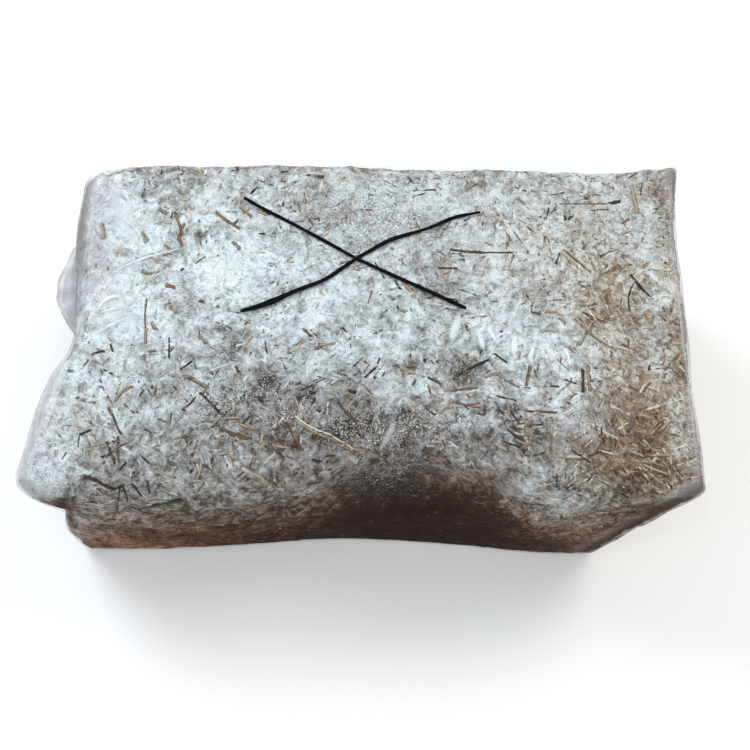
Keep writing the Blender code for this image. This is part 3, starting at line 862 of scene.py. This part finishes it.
def mycelium_colour(add, place, growth, warmth, wet, painted_shade):
    """The skin's colour and relief: brown straw where growth is thin, blue-white where thick, painted shadows
    in small gaps, painted highlights and dark rims of water beads where wet, and dark brown painted shade
    where it is laid. Real threads are hundredths of a millimetre, too fine to show, so they are drawn as 2 mm
    wisps."""
    ragged = jogged(add, place, size=4.0, reach=7.0)
    broad = dict(Scale=per_mm(12.0), Detail=4.0, Roughness=0.60, Distortion=0.6)
    clouds = add("TexNoise", Vector=place, **broad)
    fine = dict(Scale=per_mm(2.2), Detail=3.0, Roughness=0.70, Distortion=1.2)
    threads = add("TexNoise", Vector=place, **fine)
    wisps = buried_straw(add, ragged, cell=11.0, long=9.0, wide=2.4)
    mounds = buried_straw(add, ragged, cell=17.0, long=16.0, wide=4.2)
    crests = ridged(add, place, size=4.2, detail=4.0, distortion=0.8, half=0.16)
    creases = ridged(add, place, size=4.6, detail=3.0, distortion=1.6, half=0.05)
    unevenness = add("Math", warmth, -0.62, 0.94, **TIMES_PLUS)
    centred = add("Math", clouds, 0.5, operation="SUBTRACT")
    relief = add("Math", growth, 1.3, 0.60, **TIMES_PLUS)
    for pattern, weight in ((centred, unevenness), (wisps, 0.84), (mounds, 1.0)):
        relief = add("Math", pattern, weight, relief, **TIMES_PLUS)
    depth = relief
    for pattern, weight in ((threads, 0.12), (crests, 0.05), (creases, -0.11)):
        depth = add("Math", pattern, weight, depth, **TIMES_PLUS)
    depth = add("Math", depth, 1.74, operation="SUBTRACT")
    colour = add("ValToRGB", depth, stops=COVER_STOPS)
    thin = add("MapRange", depth, 1.0, 0.3, **SMOOTH)

    streak = buried_straw(add, ragged, cell=8.0, long=12.0, wide=1.5)
    streak = add("MapRange", streak, 0.57, 0.64, **SMOOTH)
    bare = add("Math", thin, 0.35, 0.08, **TIMES_PLUS)
    bare = add("Math", warmth, 0.4, bare, **TIMES_PLUS)
    tan = add("ValToRGB", threads, stops=TAN_STOPS)
    colour = add("Mix", add("Math", streak, bare, **TIMES), colour, tan, **BLEND)

    dark = buried_straw(add, ragged, cell=6.0, long=8.0, wide=0.9)
    dark = add("MapRange", dark, 0.61, 0.67, **SMOOTH)
    dark = add("Math", dark, add("Math", thin, 0.6, 0.12, **TIMES_PLUS), **TIMES)
    colour = add("Mix", dark, colour, linear("#5C4A38"), **TINT)

    # Painted shadows: small dark specks where gaps between fibres would lie in shade
    gap_shadows = add("TexVoronoi", Vector=ragged, Scale=per_mm(6.5), Randomness=1.0)
    gap_shadows = add("Math", add("MapRange", gap_shadows, 0.13, 0.08, **SMOOTH), 0.65, **TIMES)
    colour = add("Mix", gap_shadows, colour, linear("#453B33"), **BLEND)

    # Painted light of water beads where wet: dark rims as painted shade, and bright painted highlights at
    # their middles
    beads = add("TexVoronoi", Vector=place, Scale=per_mm(1.3), Randomness=0.9)
    wet_rim_shade = add("Math", wet, 0.55, **TIMES)
    rings = add("Math", add("MapRange", beads, 0.30, 0.60, **SMOOTH), wet_rim_shade, **TIMES)
    colour = add("Mix", rings, colour, linear("#77777B"), **TINT)
    wet_highlights = add("Math", wet, 0.75, **TIMES)
    bead_highlights = add("Math", add("MapRange", beads, 0.36, 0.14, **SMOOTH), wet_highlights, **TIMES)
    colour = add("Mix", bead_highlights, colour, linear("#E6EDEF"), **BLEND)

    warm = add("Math", warmth, add("Math", thin, 0.65, 0.22, **TIMES_PLUS), **TIMES)
    colour = add("Mix", warm, colour, linear("#DDB27C"), **TINT)
    # Painted shade: dark brown where it is laid, standing in for the near side's shade and a brown table's
    # reflection
    soil = add("Math", threads, 0.6, add("Math", depth, 0.28, operation="SUBTRACT"), **TIMES_PLUS)
    painted_shade_colour = add("ValToRGB", soil, stops=PAINTED_SHADE_STOPS)
    return add("Mix", painted_shade, colour, painted_shade_colour, **BLEND), relief


def finish_surface(add, colour, bump_height, bump_mm, **settings):
    """A Principled surface of this colour, with this bump, as the material's output."""
    bump = add("Bump", Height=bump_height, Distance=bump_mm * MM, Strength=1.0)
    surface = add("BsdfPrincipled", Base_Color=colour, Normal=bump, **settings)
    add("OutputMaterial", Surface=surface)


def mycelium_felt():
    """Mycelium felt, grown against film: matt, cottony white, with straw showing where it is thin, and dark
    brown painted shade where it is laid.
    """
    material, add, place, *known = new_material("grown_mycelium_felt", *GROUND_LABELS)
    colour, relief = mycelium_colour(add, place, *known)
    finish_surface(add, colour, relief, bump_mm=2.2, Roughness=0.85, IOR=1.4, Specular_IOR_Level=0.2)
    return material


def wheat_straw(name, stops, ochre_share, edge, overgrown):
    """Chopped straw, split by the chopper: waxy, with lengthwise grain, edges and underside darkened by
    painted shade, browner where painted shade is laid, partly grown over.
    """
    labels = ("tone", "edge_shade", "along", "across", "own", *GROUND_LABELS)
    material, add, place, tone, edge_shade, along, across, own, *known = new_material(name, *labels)
    growth, _, _, painted_shade = known
    grain_place = add("CombineXYZ", along, across, add("Math", own, 90.0, **TIMES))
    grain_place = add("Mapping", Vector=grain_place, Scale=(0.25, 1.6, 1.0))
    grain = add("TexNoise", Vector=grain_place, Scale=1.0, Detail=2.0)
    shade = add("Math", grain, 0.70, add("Math", tone, 0.35, operation="SUBTRACT"), **TIMES_PLUS)
    straw = add("ValToRGB", shade, stops=stops)
    ochre = add("Math", add("MapRange", own, 0.45, 0.85, **SMOOTH), ochre_share, **TIMES)
    ochre = add("Math", ochre, add("MapRange", tone, 0.20, 0.55, **SMOOTH), **TIMES)
    straw = add("Mix", ochre, straw, linear("#E2B57B"), **TINT)
    # Painted shade: the edges and underside are darkened towards the edge colour
    straw = add("Mix", add("Math", edge_shade, 0.90, **TIMES), straw, linear(edge), **TINT)
    # Painted shade: browner and darker where it is laid
    straw = add("Mix", painted_shade, straw, linear("#684833"), **TINT)
    skin, _ = mycelium_colour(add, place, *known)
    veil = add("TexNoise", Vector=place, Scale=per_mm(5.0), Detail=2.0, Roughness=0.5, Distortion=0.5)
    veil = add("Math", growth, 0.22, veil, **TIMES_PLUS)
    veil = add("Math", edge_shade, 0.10, veil, **TIMES_PLUS)
    grown = add("MapRange", veil, overgrown, overgrown + 0.10, **SMOOTH)
    colour = add("Mix", grown, straw, skin, **BLEND)
    finish_surface(add, colour, grain, bump_mm=0.3, Roughness=0.55, IOR=1.45, Specular_IOR_Level=0.3)
    return material


def film_look():
    """Blown polypropylene film: clear and glossy, milky where it is doubled, folded or pulled, with painted
    glints and painted shade on its folds, and painted reflection towards edge-on and along the near side's
    foot.
    """
    labels = ("haze", "shade", "fogged")
    material, add, place, haze, shade, fogged = new_material("clear_blown_polypropylene", *labels)
    facing = add("LayerWeight", Blend=0.5, out="Facing")
    clear = add("BsdfTransparent", Color=linear("#FAFBFB"))
    streaky = dict(Scale=per_mm(7.0), Detail=3.0, Roughness=0.6, Distortion=0.8)
    streaks = add("TexNoise", Vector=place, **streaky)
    fog = add("Math", haze, add("Math", streaks, 1.5, 0.25, **TIMES_PLUS), **TIMES)
    slant = add("Math", add("Math", facing, 14.0, operation="POWER"), 0.80, **TIMES)
    fog = add("Math", fog, slant, operation="MAXIMUM")
    # Painted reflection: the milk turns darker towards edge-on, standing in for dark surroundings seen in the
    # film at its outline
    shade = add("Math", add("MapRange", facing, 0.5, 0.95, **SMOOTH), 0.75, shade, **TIMES_PLUS)
    milk = add("BsdfDiffuse", Color=add("ValToRGB", shade, stops=MILK_STOPS), Roughness=1.0)
    film = add("MixShader", fog, clear, milk)

    lumps = dict(Scale=per_mm(5.0), Detail=2.0, Roughness=0.5)
    pulls = dict(Scale=per_mm(7.0), Detail=2.0, Roughness=0.5)
    drawn = add("Mapping", Vector=place, Scale=(0.12, 1.0, 1.0))
    ripples = add("TexNoise", Vector=place, **lumps)
    ripples = add("Math", ripples, add("TexNoise", Vector=drawn, **pulls), operation="ADD")
    bump = add("Bump", Height=ripples, Distance=0.5 * MM, Strength=1.0)
    gloss = add("BsdfAnisotropic", Color=(1.0, 1.0, 1.0, 1.0), Roughness=0.15, Normal=bump)
    share = add("Math", add("Math", facing, 5.0, operation="POWER"), 0.60, 0.017, **TIMES_PLUS)
    edge_on = add("MapRange", facing, 0.72, 0.95, **SMOOTH)
    for duller, weight in ((edge_on, -0.80), (fogged, -0.92)):
        share = add("Math", share, add("Math", duller, weight, 1.0, **TIMES_PLUS), **TIMES)
    add("OutputMaterial", Surface=add("MixShader", share, film, gloss))
    return material


def water_look():
    """Condensed water: clear beads with a bright point of light on each."""
    material, add, _ = new_material("condensed_water")
    water = dict(Base_Color=linear("#FFFFFF"), Roughness=0.02, IOR=1.33, Transmission_Weight=1.0)
    add("OutputMaterial", Surface=add("BsdfPrincipled", **water))
    return material


def ink_look():
    """Permanent marker ink, drawn on film by hand: near black and matt, thinner where the tip skipped."""
    material, add, place = new_material("permanent_marker_ink")
    cloudy = add("TexNoise", Vector=place, Scale=per_mm(4.0), Detail=3.0, Roughness=0.6)
    colour = add("ValToRGB", cloudy, stops=((0.3, "#04050A"), (0.7, "#0C0F18")))
    rough = add("TexNoise", Vector=place, Scale=per_mm(0.8), Detail=3.0, Roughness=0.6)
    finish_surface(add, colour, rough, bump_mm=0.05, Roughness=0.6, IOR=1.5, Specular_IOR_Level=0.05)
    return material


def floor_look():
    """Matt paper sweep: plain and pale."""
    material, add, place = new_material("matt_paper_sweep")
    cloudy = add("TexNoise", Vector=place, Scale=per_mm(400.0), Detail=3.0, Roughness=0.6)
    colour = add("ValToRGB", cloudy, stops=((0.3, "#F8F8F7"), (0.7, "#FAFAF9")))
    tooth = add("TexNoise", Vector=place, Scale=per_mm(3.0), Detail=3.0, Roughness=0.6)
    finish_surface(add, colour, tooth, bump_mm=0.05, Roughness=0.9)
    return material


class Ground:
    """A surface that straw, ink and folds are laid on."""

    def __init__(self, points, quads):
        self.tree = BVHTree.FromPolygons(points.tolist(), quads.tolist())
        self.corners = points[quads]
        self.middles = self.corners.mean(axis=1)
        across = np.cross(self.corners[:, 2] - self.corners[:, 0], self.corners[:, 3] - self.corners[:, 1])
        self.areas = np.linalg.norm(across, axis=1) / 2
        self.normals = unit(across)
        self.values = growth_at(self.middles, self.normals)

    def scatter(self, count, density, rng):
        """Random faces, each with a place on it: more where density is higher, fewer on the underside."""
        sides = 0.65 * ease(self.middles[:, 2], 0.001, 0.004)
        top = 0.60 * ease(self.normals[:, 2], 0.3, 0.8)
        share = self.areas * density * (0.35 + sides + top)
        face = rng.choice(len(share), count, p=share / share.sum())
        u, v = rng.random((2, count, 1))
        a, b, c, d = (self.corners[face, i] for i in range(4))
        return face, (a * (1 - u) + b * u) * (1 - v) + (d * (1 - u) + c * u) * v

    def nearest(self, places):
        """The surface's nearest point to each place, and its normal."""
        found = [self.tree.find_nearest(Vector(place)) for place in places]
        return np.array([spot for spot, *_ in found]), np.array([normal for _, normal, *_ in found])

    def seen(self, places):
        """The surface under each place on the plane of the wide face, in mm, as seen from the camera."""
        start = Vector(CAMERA_PLACE)
        spots, normals = [], []
        for x, y in places:
            way = Vector((x * MM, y * MM, HEIGHT)) - start
            spot, normal, *_ = self.tree.ray_cast(start, way)
            if spot is None:
                spot, normal, *_ = self.tree.find_nearest(start + way)
            spots.append(spot)
            normals.append(normal)
        return np.array(spots), np.array(normals)


def distances(lines):
    """How far along its line each point is."""
    steps = np.linalg.norm(np.diff(lines, axis=-2), axis=-1)
    return np.concatenate((np.zeros((*steps.shape[:-1], 1)), np.cumsum(steps, axis=-1)), -1)


def beside(normals):
    """Two directions in the surface at each normal."""
    helper = np.where(np.abs(normals[:, 2:]) < 0.8, (0.0, 0.0, 1.0), (0.0, 1.0, 0.0))
    side = unit(np.cross(helper, normals))
    return side, np.cross(normals, side)


def lay(ground, places, normals, headings, lengths, bends, stations):
    """Each straw's line over the ground, and the way up along it, as (straw, station, xyz)."""
    side, front = beside(normals)
    turn = headings[:, None]
    along = side * np.cos(turn) + front * np.sin(turn)
    across = np.cross(normals, along)
    line, up = [], []
    for share in np.linspace(-0.5, 0.5, stations):
        bow = share**2 - 0.08
        offset = along * (lengths * share)[:, None] + across * (bends * lengths * bow)[:, None]
        spot, normal = ground.nearest(places + offset)
        line.append(spot)
        up.append(normal)
    return np.stack(line, 1), np.stack(up, 1)


def slivers(line, up, widths, heights, sinks, rng):
    """A closed sliver along each line, with crest, two rims and underside at each station, and skew ends."""
    count, stations, _ = line.shape
    ahead = unit(np.gradient(line, axis=1))
    side = np.cross(up, ahead)
    half = (widths[:, None] / 2 * rng.uniform(*SLIVER_WIDTHS, (count, stations)))[:, :, None]
    centre = line - up * sinks[:, None, None]
    side = side + up * rng.uniform(-EDGE_LEAN, EDGE_LEAN, (count, 1, 1))
    skew = np.zeros((count, stations, 1))
    skew[:, 0, 0], skew[:, -1, 0] = rng.uniform(-END_SKEW, END_SKEW, (2, count))
    edge = (side + ahead * skew) * half
    crest = centre + up * (heights[:, None, None] * rng.uniform(*SLIVER_HEIGHTS, (count, stations, 1)))
    under = centre - up * (heights[:, None, None] * SLIVER_BELOW)
    points = np.stack((crest, centre + edge, under, centre - edge), 2).reshape(-1, 3)
    first = np.arange(count) * stations * 4
    ring = first[:, None, None] + (np.arange(stations - 1) * 4)[None, :, None]
    turn = np.arange(4)[None, None, :]
    after = (turn + 1) % 4
    quads = np.stack((ring + turn, ring + after, ring + after + 4, ring + turn + 4), 3).reshape(-1, 4)
    start = first[:, None] + np.array((3, 2, 1, 0))
    end = first[:, None] + (stations - 1) * 4 + np.array((0, 1, 2, 3))
    # Painted shade at each corner: none on the crest, full on the underside, and some on each side
    right_edge_shade, left_edge_shade = rng.uniform(*SLIVER_EDGE_SHADES, count), rng.uniform(*SLIVER_EDGE_SHADES, count)
    edge_shades = np.stack((np.zeros(count), right_edge_shade, np.ones(count), left_edge_shade), 1)
    values = dict(
        along=np.repeat(distances(line).ravel() / MM, 4),
        across=np.tile((0.0, 1.0, 0.0, -1.0), count * stations),
        edge_shade=np.repeat(edge_shades, stations, axis=0).ravel(),
        own=np.repeat(rng.random(count), stations * 4),
    )
    return points, np.concatenate((quads, start, end)).tolist(), values


def scattered_straw(name, material, ground, kit, rng):
    """One kind of straw, scattered and laid over the block."""
    here = ground.values
    # Fewer straws where painted shade is laid, so that ground stays smooth and brown
    fewer = 1.0 - PAINTED_SHADE_FEWER * ease(here["painted_shade"], 0.45, 0.75)
    face, places = ground.scatter(kit["count"], kit["density"](here["growth"], here["warmth"]) * fewer, rng)
    count = len(face)
    lie = noise_at(places, LIE_SIZE, (8.0, 8.0, 2.0)) * LIE_DRIFT + LIE_HEADING
    headings = lie + rng.normal(0.0, LIE_SPREAD, count)
    lengths = rng.lognormal(math.log(kit["length"]), kit["spread"], count)
    lengths = np.clip(lengths, *(kit["length"] * limit for limit in LENGTH_LIMITS)) * MM
    widths = rng.uniform(*kit["width"], count) * MM
    bends = rng.normal(0.0, kit["bend"], count)
    line, up = lay(ground, places, ground.normals[face], headings, lengths, bends, kit["stations"])
    heights = np.minimum(widths * rng.uniform(*SLIVER_THICKNESS, count), SLIVER_THICKEST)
    sinks = heights * rng.uniform(*kit["sink"], count)
    points, faces, values = slivers(line, up, widths, heights, sinks, rng)
    bare = ease(0.42 - here["growth"][face], 0.0, 0.25)
    values["tone"] = np.clip(rng.normal(*kit["tone"], count) + BARE_DARKER * bare, *TONE_LIMITS)
    values.update({label: here[label][face] for label in GROUND_LABELS})
    for label in ("tone", *GROUND_LABELS):
        values[label] = np.repeat(values[label], kit["stations"] * 4)
    return mesh_piece(name, material, (points, faces, values))


def marked_straws(material, ground, rng):
    """The straws that stand out, each where the block has it."""
    rows = np.array([(*row, 0.0)[:7] for row in MARKED_STRAWS])
    start, end, (widths, tones, bows) = rows[:, 0:2], rows[:, 2:4], rows[:, 4:].T
    along = end - start
    side = unit(np.column_stack((-along[:, 1], along[:, 0])))
    line, up = [], []
    for share in np.linspace(-0.5, 0.5, MARKED_STATIONS):
        place = (start + end) / 2 + along * share + side * (bows * (1 - 4 * share**2))[:, None]
        spot, normal = ground.seen(place)
        line.append(spot)
        up.append(normal)
    widths = widths * MARKED_WIDER * MM
    heights = np.minimum(widths * MARKED_THICKNESS, MARKED_THICKEST)
    sinks = heights * MARKED_SINK
    points, faces, values = slivers(np.stack(line, 1), np.stack(up, 1), widths, heights, sinks, rng)
    darker = tones + MARKED_DARKER * ease(tones, 0.50, 0.70)
    # Painted shade, more towards the near side
    painted_shade = MARKED_PAINTED_SHADE * ease(-start[:, 1], 60.0, 125.0)
    values.update(growth=MARKED_GROWTH, warmth=MARKED_WARMTH, wet=0.0)
    values["tone"] = np.repeat(darker, MARKED_STATIONS * 4)
    values["painted_shade"] = np.repeat(painted_shade, MARKED_STATIONS * 4)
    return mesh_piece("marked_straw", material, (points, faces, values))


def smooth_line(places, pitch, reach):
    """Points about a pitch apart on a line through places, smoothed over a reach of them to both sides."""
    knots = np.array(places, float)
    along = distances(knots)
    steps = np.linspace(0.0, along[-1], max(5, round(along[-1] / pitch)))
    line = np.stack([np.interp(steps, along, values) for values in knots.T], 1)
    kernel = np.hanning(2 * reach + 3)[1:-1]
    padded = np.pad(line, ((reach, reach), (0, 0)), mode="reflect", reflect_type="odd")
    return np.stack([np.convolve(values, kernel / kernel.sum(), "valid") for values in padded.T], 1)


def ribbon(ground, found, width, milk, dark=0.0):
    """A fold in the film: a low tent along a line found on it, milky on one side, partly as a painted
    highlight, and darkened by painted shade on the other.
    """
    line, up = found
    side = np.cross(up, unit(np.gradient(line, axis=0)))
    taper = np.sqrt(np.sin(np.linspace(0.03, 0.97, len(line)) * math.pi))
    rows, haze, shade = [], [], []
    for across, height, milky, shaded in FOLD_SECTION:
        spots, normals = ground.nearest(line + side * (across * width / 2 * MM * taper)[:, None])
        rows.append(spots + normals * (FOLD_OFF + height * width * taper)[:, None] * MM)
        haze.append(milk * milky * taper)
        shade.append(dark * shaded * np.ones_like(taper))
    return grid_part(np.array(rows), np.array(haze), np.array(shade))


def grid_part(rows, haze, shade):
    """A part for mesh_piece from rows of points, with the milkiness and darkness at each."""
    down, across = rows.shape[:2]
    faces = [
        (r * across + c, (r + 1) * across + c, (r + 1) * across + c + 1, r * across + c + 1)
        for r in range(down - 1)
        for c in range(across - 1)
    ]
    return rows.reshape(-1, 3), faces, dict(haze=haze.ravel(), shade=shade.ravel(), fogged=np.zeros(1))


def bag_tail():
    """The bag's open end, gathered into a flat tube with pleats and folded down over the left end."""
    route = np.array(TAIL_ROUTE)
    last = len(route) - 1
    across = np.linspace(-1.0, 1.0, TAIL_POINTS_ACROSS)
    loop = np.concatenate((across, across[::-1], across[:1]))
    sides = np.repeat((-1.0, 1.0, -1.0), (TAIL_POINTS_ACROSS, TAIL_POINTS_ACROSS, 1))
    closing = np.sqrt(np.clip(1.0 - np.abs(loop) ** 6, 0.02, 1.0))
    rows, haze, shade = [], [], []
    for station in np.linspace(0.0, last, TAIL_RINGS):
        out, height, degrees, thick = (np.interp(station, range(last + 1), column) for column in route.T)
        angle = math.radians(degrees)
        y = TAIL_MIDDLE_Y + loop * TAIL_HALF_WIDTH * (1.0 + (TAIL_FLARE - 1.0) * station / last)
        pleat = np.sin(loop * PLEAT_TURNS + 1.3 * np.sin(loop * 5.0 + station * 0.7))
        half = TAIL_THICK * thick / 2 * sides * closing + PLEAT_HEIGHT * pleat * ease(station, 0.5, 2.0)
        end_x = left_shift(y, np.full(len(y), height)) - HALF_LENGTH
        x = end_x - out * follow(TAIL_PROFILE, loop)
        rows.append(np.column_stack((x + math.sin(angle) * half, y, height + math.cos(angle) * half)))
        haze.append(np.full(len(y), TAIL_MILK))
        # Painted shade in the pleats, and darker towards the tail's lower end
        shade.append(0.17 + 0.12 * np.sin(loop * PLEAT_TURNS) + 0.22 * ease(station, 5.0, 7.0))
    return grid_part(np.array(rows), np.array(haze), np.array(shade))


def surface(pitch, inset, softer):
    """A mesh over the block: its points, how far a lift of 1 moves each, and its quads."""
    points, quads = box_grid(pitch)
    points = rounded(points, inset, softer)
    away = outward(points)
    points = shaped(points)
    return points, away * ease(points[:, 2:], *UNDERSIDE_EDGE), quads


def build_skin(material):
    """The block's surface. Gives the piece and the ground that straw is laid on."""
    points, away, quads = surface(SKIN_PITCH, BLOCK_INSET, BLOCK_SOFTER)
    cushions = noise_at(points, CUSHION_SIZE, (2.0, 6.0, 1.0))
    tufts = noise_at(points, TUFT_SIZE, (5.0, 1.0, 7.0))
    lift = np.minimum(CUSHION_HEIGHT * (cushions - 0.25) + TUFT_HEIGHT * (tufts - 0.3), PRESSED_FLAT)
    points = points + away * lift[:, None]
    values = growth_at(points, vertex_normals(points, quads))
    # Whiter on cushions and tufts and darker in the hollows between: partly more growth, partly painted shade
    values["growth"] += CUSHION_GROWTH_AND_SHADE * cushions + TUFT_GROWTH_AND_SHADE * tufts
    return mesh_piece("mycelium_block", material, (points, quads.tolist(), values)), Ground(points, quads)


def build_film(material):
    """The bag's film: round the block, its open end folded down, and the folds pressed into it."""
    points, away, quads = surface(FILM_PITCH, 0.0, 0.0)
    ripples = FILM_RIPPLE_DEPTH * np.abs(noise_at(points, FILM_RIPPLE_SIZE, (3.0, 3.0, 3.0)))
    points = points + away * (FILM_OUT - ripples)[:, None]
    normals = vertex_normals(points, quads)
    haze, shade = milk_at(points, normals)
    place, facing = seen_on_face(points, normals)
    fogged = ease(-place[:, 1], 85.0, 115.0) * facing
    ground = Ground(points, quads)
    values = dict(haze=haze + CLEAR_FILM_MILK, shade=shade, fogged=fogged)
    parts = [(points, quads.tolist(), values), bag_tail()]
    for places, *look in FILM_FOLDS:
        parts.append(ribbon(ground, ground.seen(smooth_line(places, FOLD_PITCH, FOLD_REACH)), *look))
    for places, *look in SIDE_FOLDS:
        parts.append(ribbon(ground, ground.nearest(smooth_line(places, FOLD_PITCH, FOLD_REACH) * MM), *look))
    return mesh_piece("film", material, *parts), ground


def build_beads(name, material, ground, rng):
    """Beads of condensed water on the inside of the film: low domes, thicker where it is wet."""
    face, places = ground.scatter(BEAD_COUNT, ground.values["wet"] ** 2 + 0.01, rng)
    normals = ground.normals[face]
    radii = np.clip(rng.lognormal(math.log(BEAD_RADIUS), BEAD_SPREAD, BEAD_COUNT), *BEAD_LIMITS)
    u, v = beside(normals)
    inside = places - normals * BEADS_UNDER
    rings = []
    for height, reach in BEAD_RINGS:
        for step in range(BEAD_SIDES):
            angle = 2 * math.pi * step / BEAD_SIDES
            spoke = u * math.cos(angle) + v * math.sin(angle)
            rings.append(inside + spoke * (radii * reach)[:, None] - normals * (radii * height)[:, None])
    rings.append(inside - normals * (radii * BEAD_TOP)[:, None])
    points = np.stack(rings, 1)
    first = np.arange(BEAD_COUNT)[:, None, None] * points.shape[1]
    n = BEAD_SIDES
    turns = [(step, (step + 1) % n) for step in range(n)]
    quads = (first + np.array([(a, a + n, b + n, b) for a, b in turns])).reshape(-1, 4)
    caps = (first + np.array([(a + n, 2 * n, b + n) for a, b in turns])).reshape(-1, 3)
    return mesh_piece(name, material, (points.reshape(-1, 3), quads.tolist() + caps.tolist(), {}))


def build_cut_mark(material, film_ground):
    """The cross that marks where to cut, as a thin layer of ink on the film."""
    parts = []
    for stroke in CUT_MARK:
        knots = np.array(stroke)
        line = smooth_line(knots[:, :2], MARK_PITCH, MARK_REACH)
        along = distances(knots[:, :2])
        steps = np.linspace(0.0, along[-1], len(line))
        width = np.interp(steps, along, knots[:, 2])
        wobble = noise_at(np.pad(line, ((0, 0), (0, 1))), MARK_WOBBLE_SIZE, (1.0, 1.0, 1.0)) * MARK_WOBBLE
        ends = np.minimum(steps, along[-1] - steps)
        cap = np.sqrt(np.clip(1 - (1 - np.clip(ends / (width / 2), 0, 1)) ** 2, 0.0, 1.0))
        half = (width * MARK_WIDER / 2 + wobble) * np.maximum(cap, 0.08)
        ahead = np.gradient(line, axis=0)
        side = unit(np.column_stack((-ahead[:, 1], ahead[:, 0])))
        rows = []
        for across in (-1.0, -0.5, 0.0, 0.5, 1.0):
            spots, normals = film_ground.seen(line + side * (half * across)[:, None])
            rows.append(spots + normals * (MARK_EDGE_HEIGHT + MARK_HUMP * (1.0 - across**2)) * MM)
        points, faces, _ = grid_part(np.array(rows), np.zeros(1), np.zeros(1))
        parts.append((points, faces, {}))
    return mesh_piece("cut_mark", material, *parts)


def build_stage():
    """A pale paper sweep, soft light from above and behind, and the camera where the photograph was taken."""
    floor = bpy.data.meshes.new("floor")
    corners = [(x * FLOOR_HALF, y * FLOOR_HALF, 0) for x, y in ((-1, -1), (1, -1), (1, 1), (-1, 1))]
    floor.from_pydata(corners, [], [(0, 1, 2, 3)])
    floor.materials.append(floor_look())
    piece = put("floor", floor)
    world = bpy.data.worlds.new("studio")
    world.use_nodes = True
    background = world.node_tree.nodes["Background"]
    background.inputs["Color"].default_value = linear(ROOM_COLOUR)
    background.inputs["Strength"].default_value = ROOM_LIGHT
    bpy.context.scene.world = world
    for name, place, size, power, colour in LAMPS:
        lamp = bpy.data.lights.new(name, "AREA")
        lamp.shape = "DISK"
        lamp.size = size
        lamp.energy = power
        lamp.color = linear(colour)[:3]
        holder = put(name, lamp)
        holder.location = place
        holder.rotation_euler = (LAMPS_AIM - Vector(place)).to_track_quat("-Z", "Y").to_euler()
    bpy.context.scene.view_settings.view_transform = "Standard"
    data = bpy.data.cameras.new("camera")
    data.sensor_width = CAMERA_FRAME
    data.lens = CAMERA_LENS
    camera = put("camera", data)
    camera.location = CAMERA_PLACE + ROW_SHIFT
    camera.rotation_euler = (math.radians(90 - CAMERA_DOWN), 0.0, 0.0)
    bpy.context.scene.camera = camera


# The edge colours are painted shade on the slivers' edges and undersides
straw_look = wheat_straw("damp_wheat_straw", STRAW_STOPS, ochre_share=0.9, edge="#4C3A2A", overgrown=0.63)
thread_look = wheat_straw("mycelium_threads", THREAD_STOPS, ochre_share=0.0, edge="#A2A4A6", overgrown=0.54)
skin, ground = build_skin(mycelium_felt())
film, film_ground = build_film(film_look())
substrate = [
    skin,
    scattered_straw("white_threads", thread_look, ground, WHITE_THREADS, np.random.default_rng(11)),
    scattered_straw("tan_straw", straw_look, ground, TAN_STRAW, np.random.default_rng(12)),
    scattered_straw("brown_straw", straw_look, ground, BROWN_STRAW, np.random.default_rng(13)),
    scattered_straw("chips", straw_look, ground, CHIPS, np.random.default_rng(14)),
    marked_straws(straw_look, ground, np.random.default_rng(15)),
]
bag = [
    film,
    build_beads("water_beads", water_look(), film_ground, np.random.default_rng(16)),
    build_cut_mark(ink_look(), film_ground),
]
build_stage()

for piece in substrate:
    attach(piece, "root")
for piece in bag:
    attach(piece, "root")
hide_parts("substrate_block")
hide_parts("film_bag")
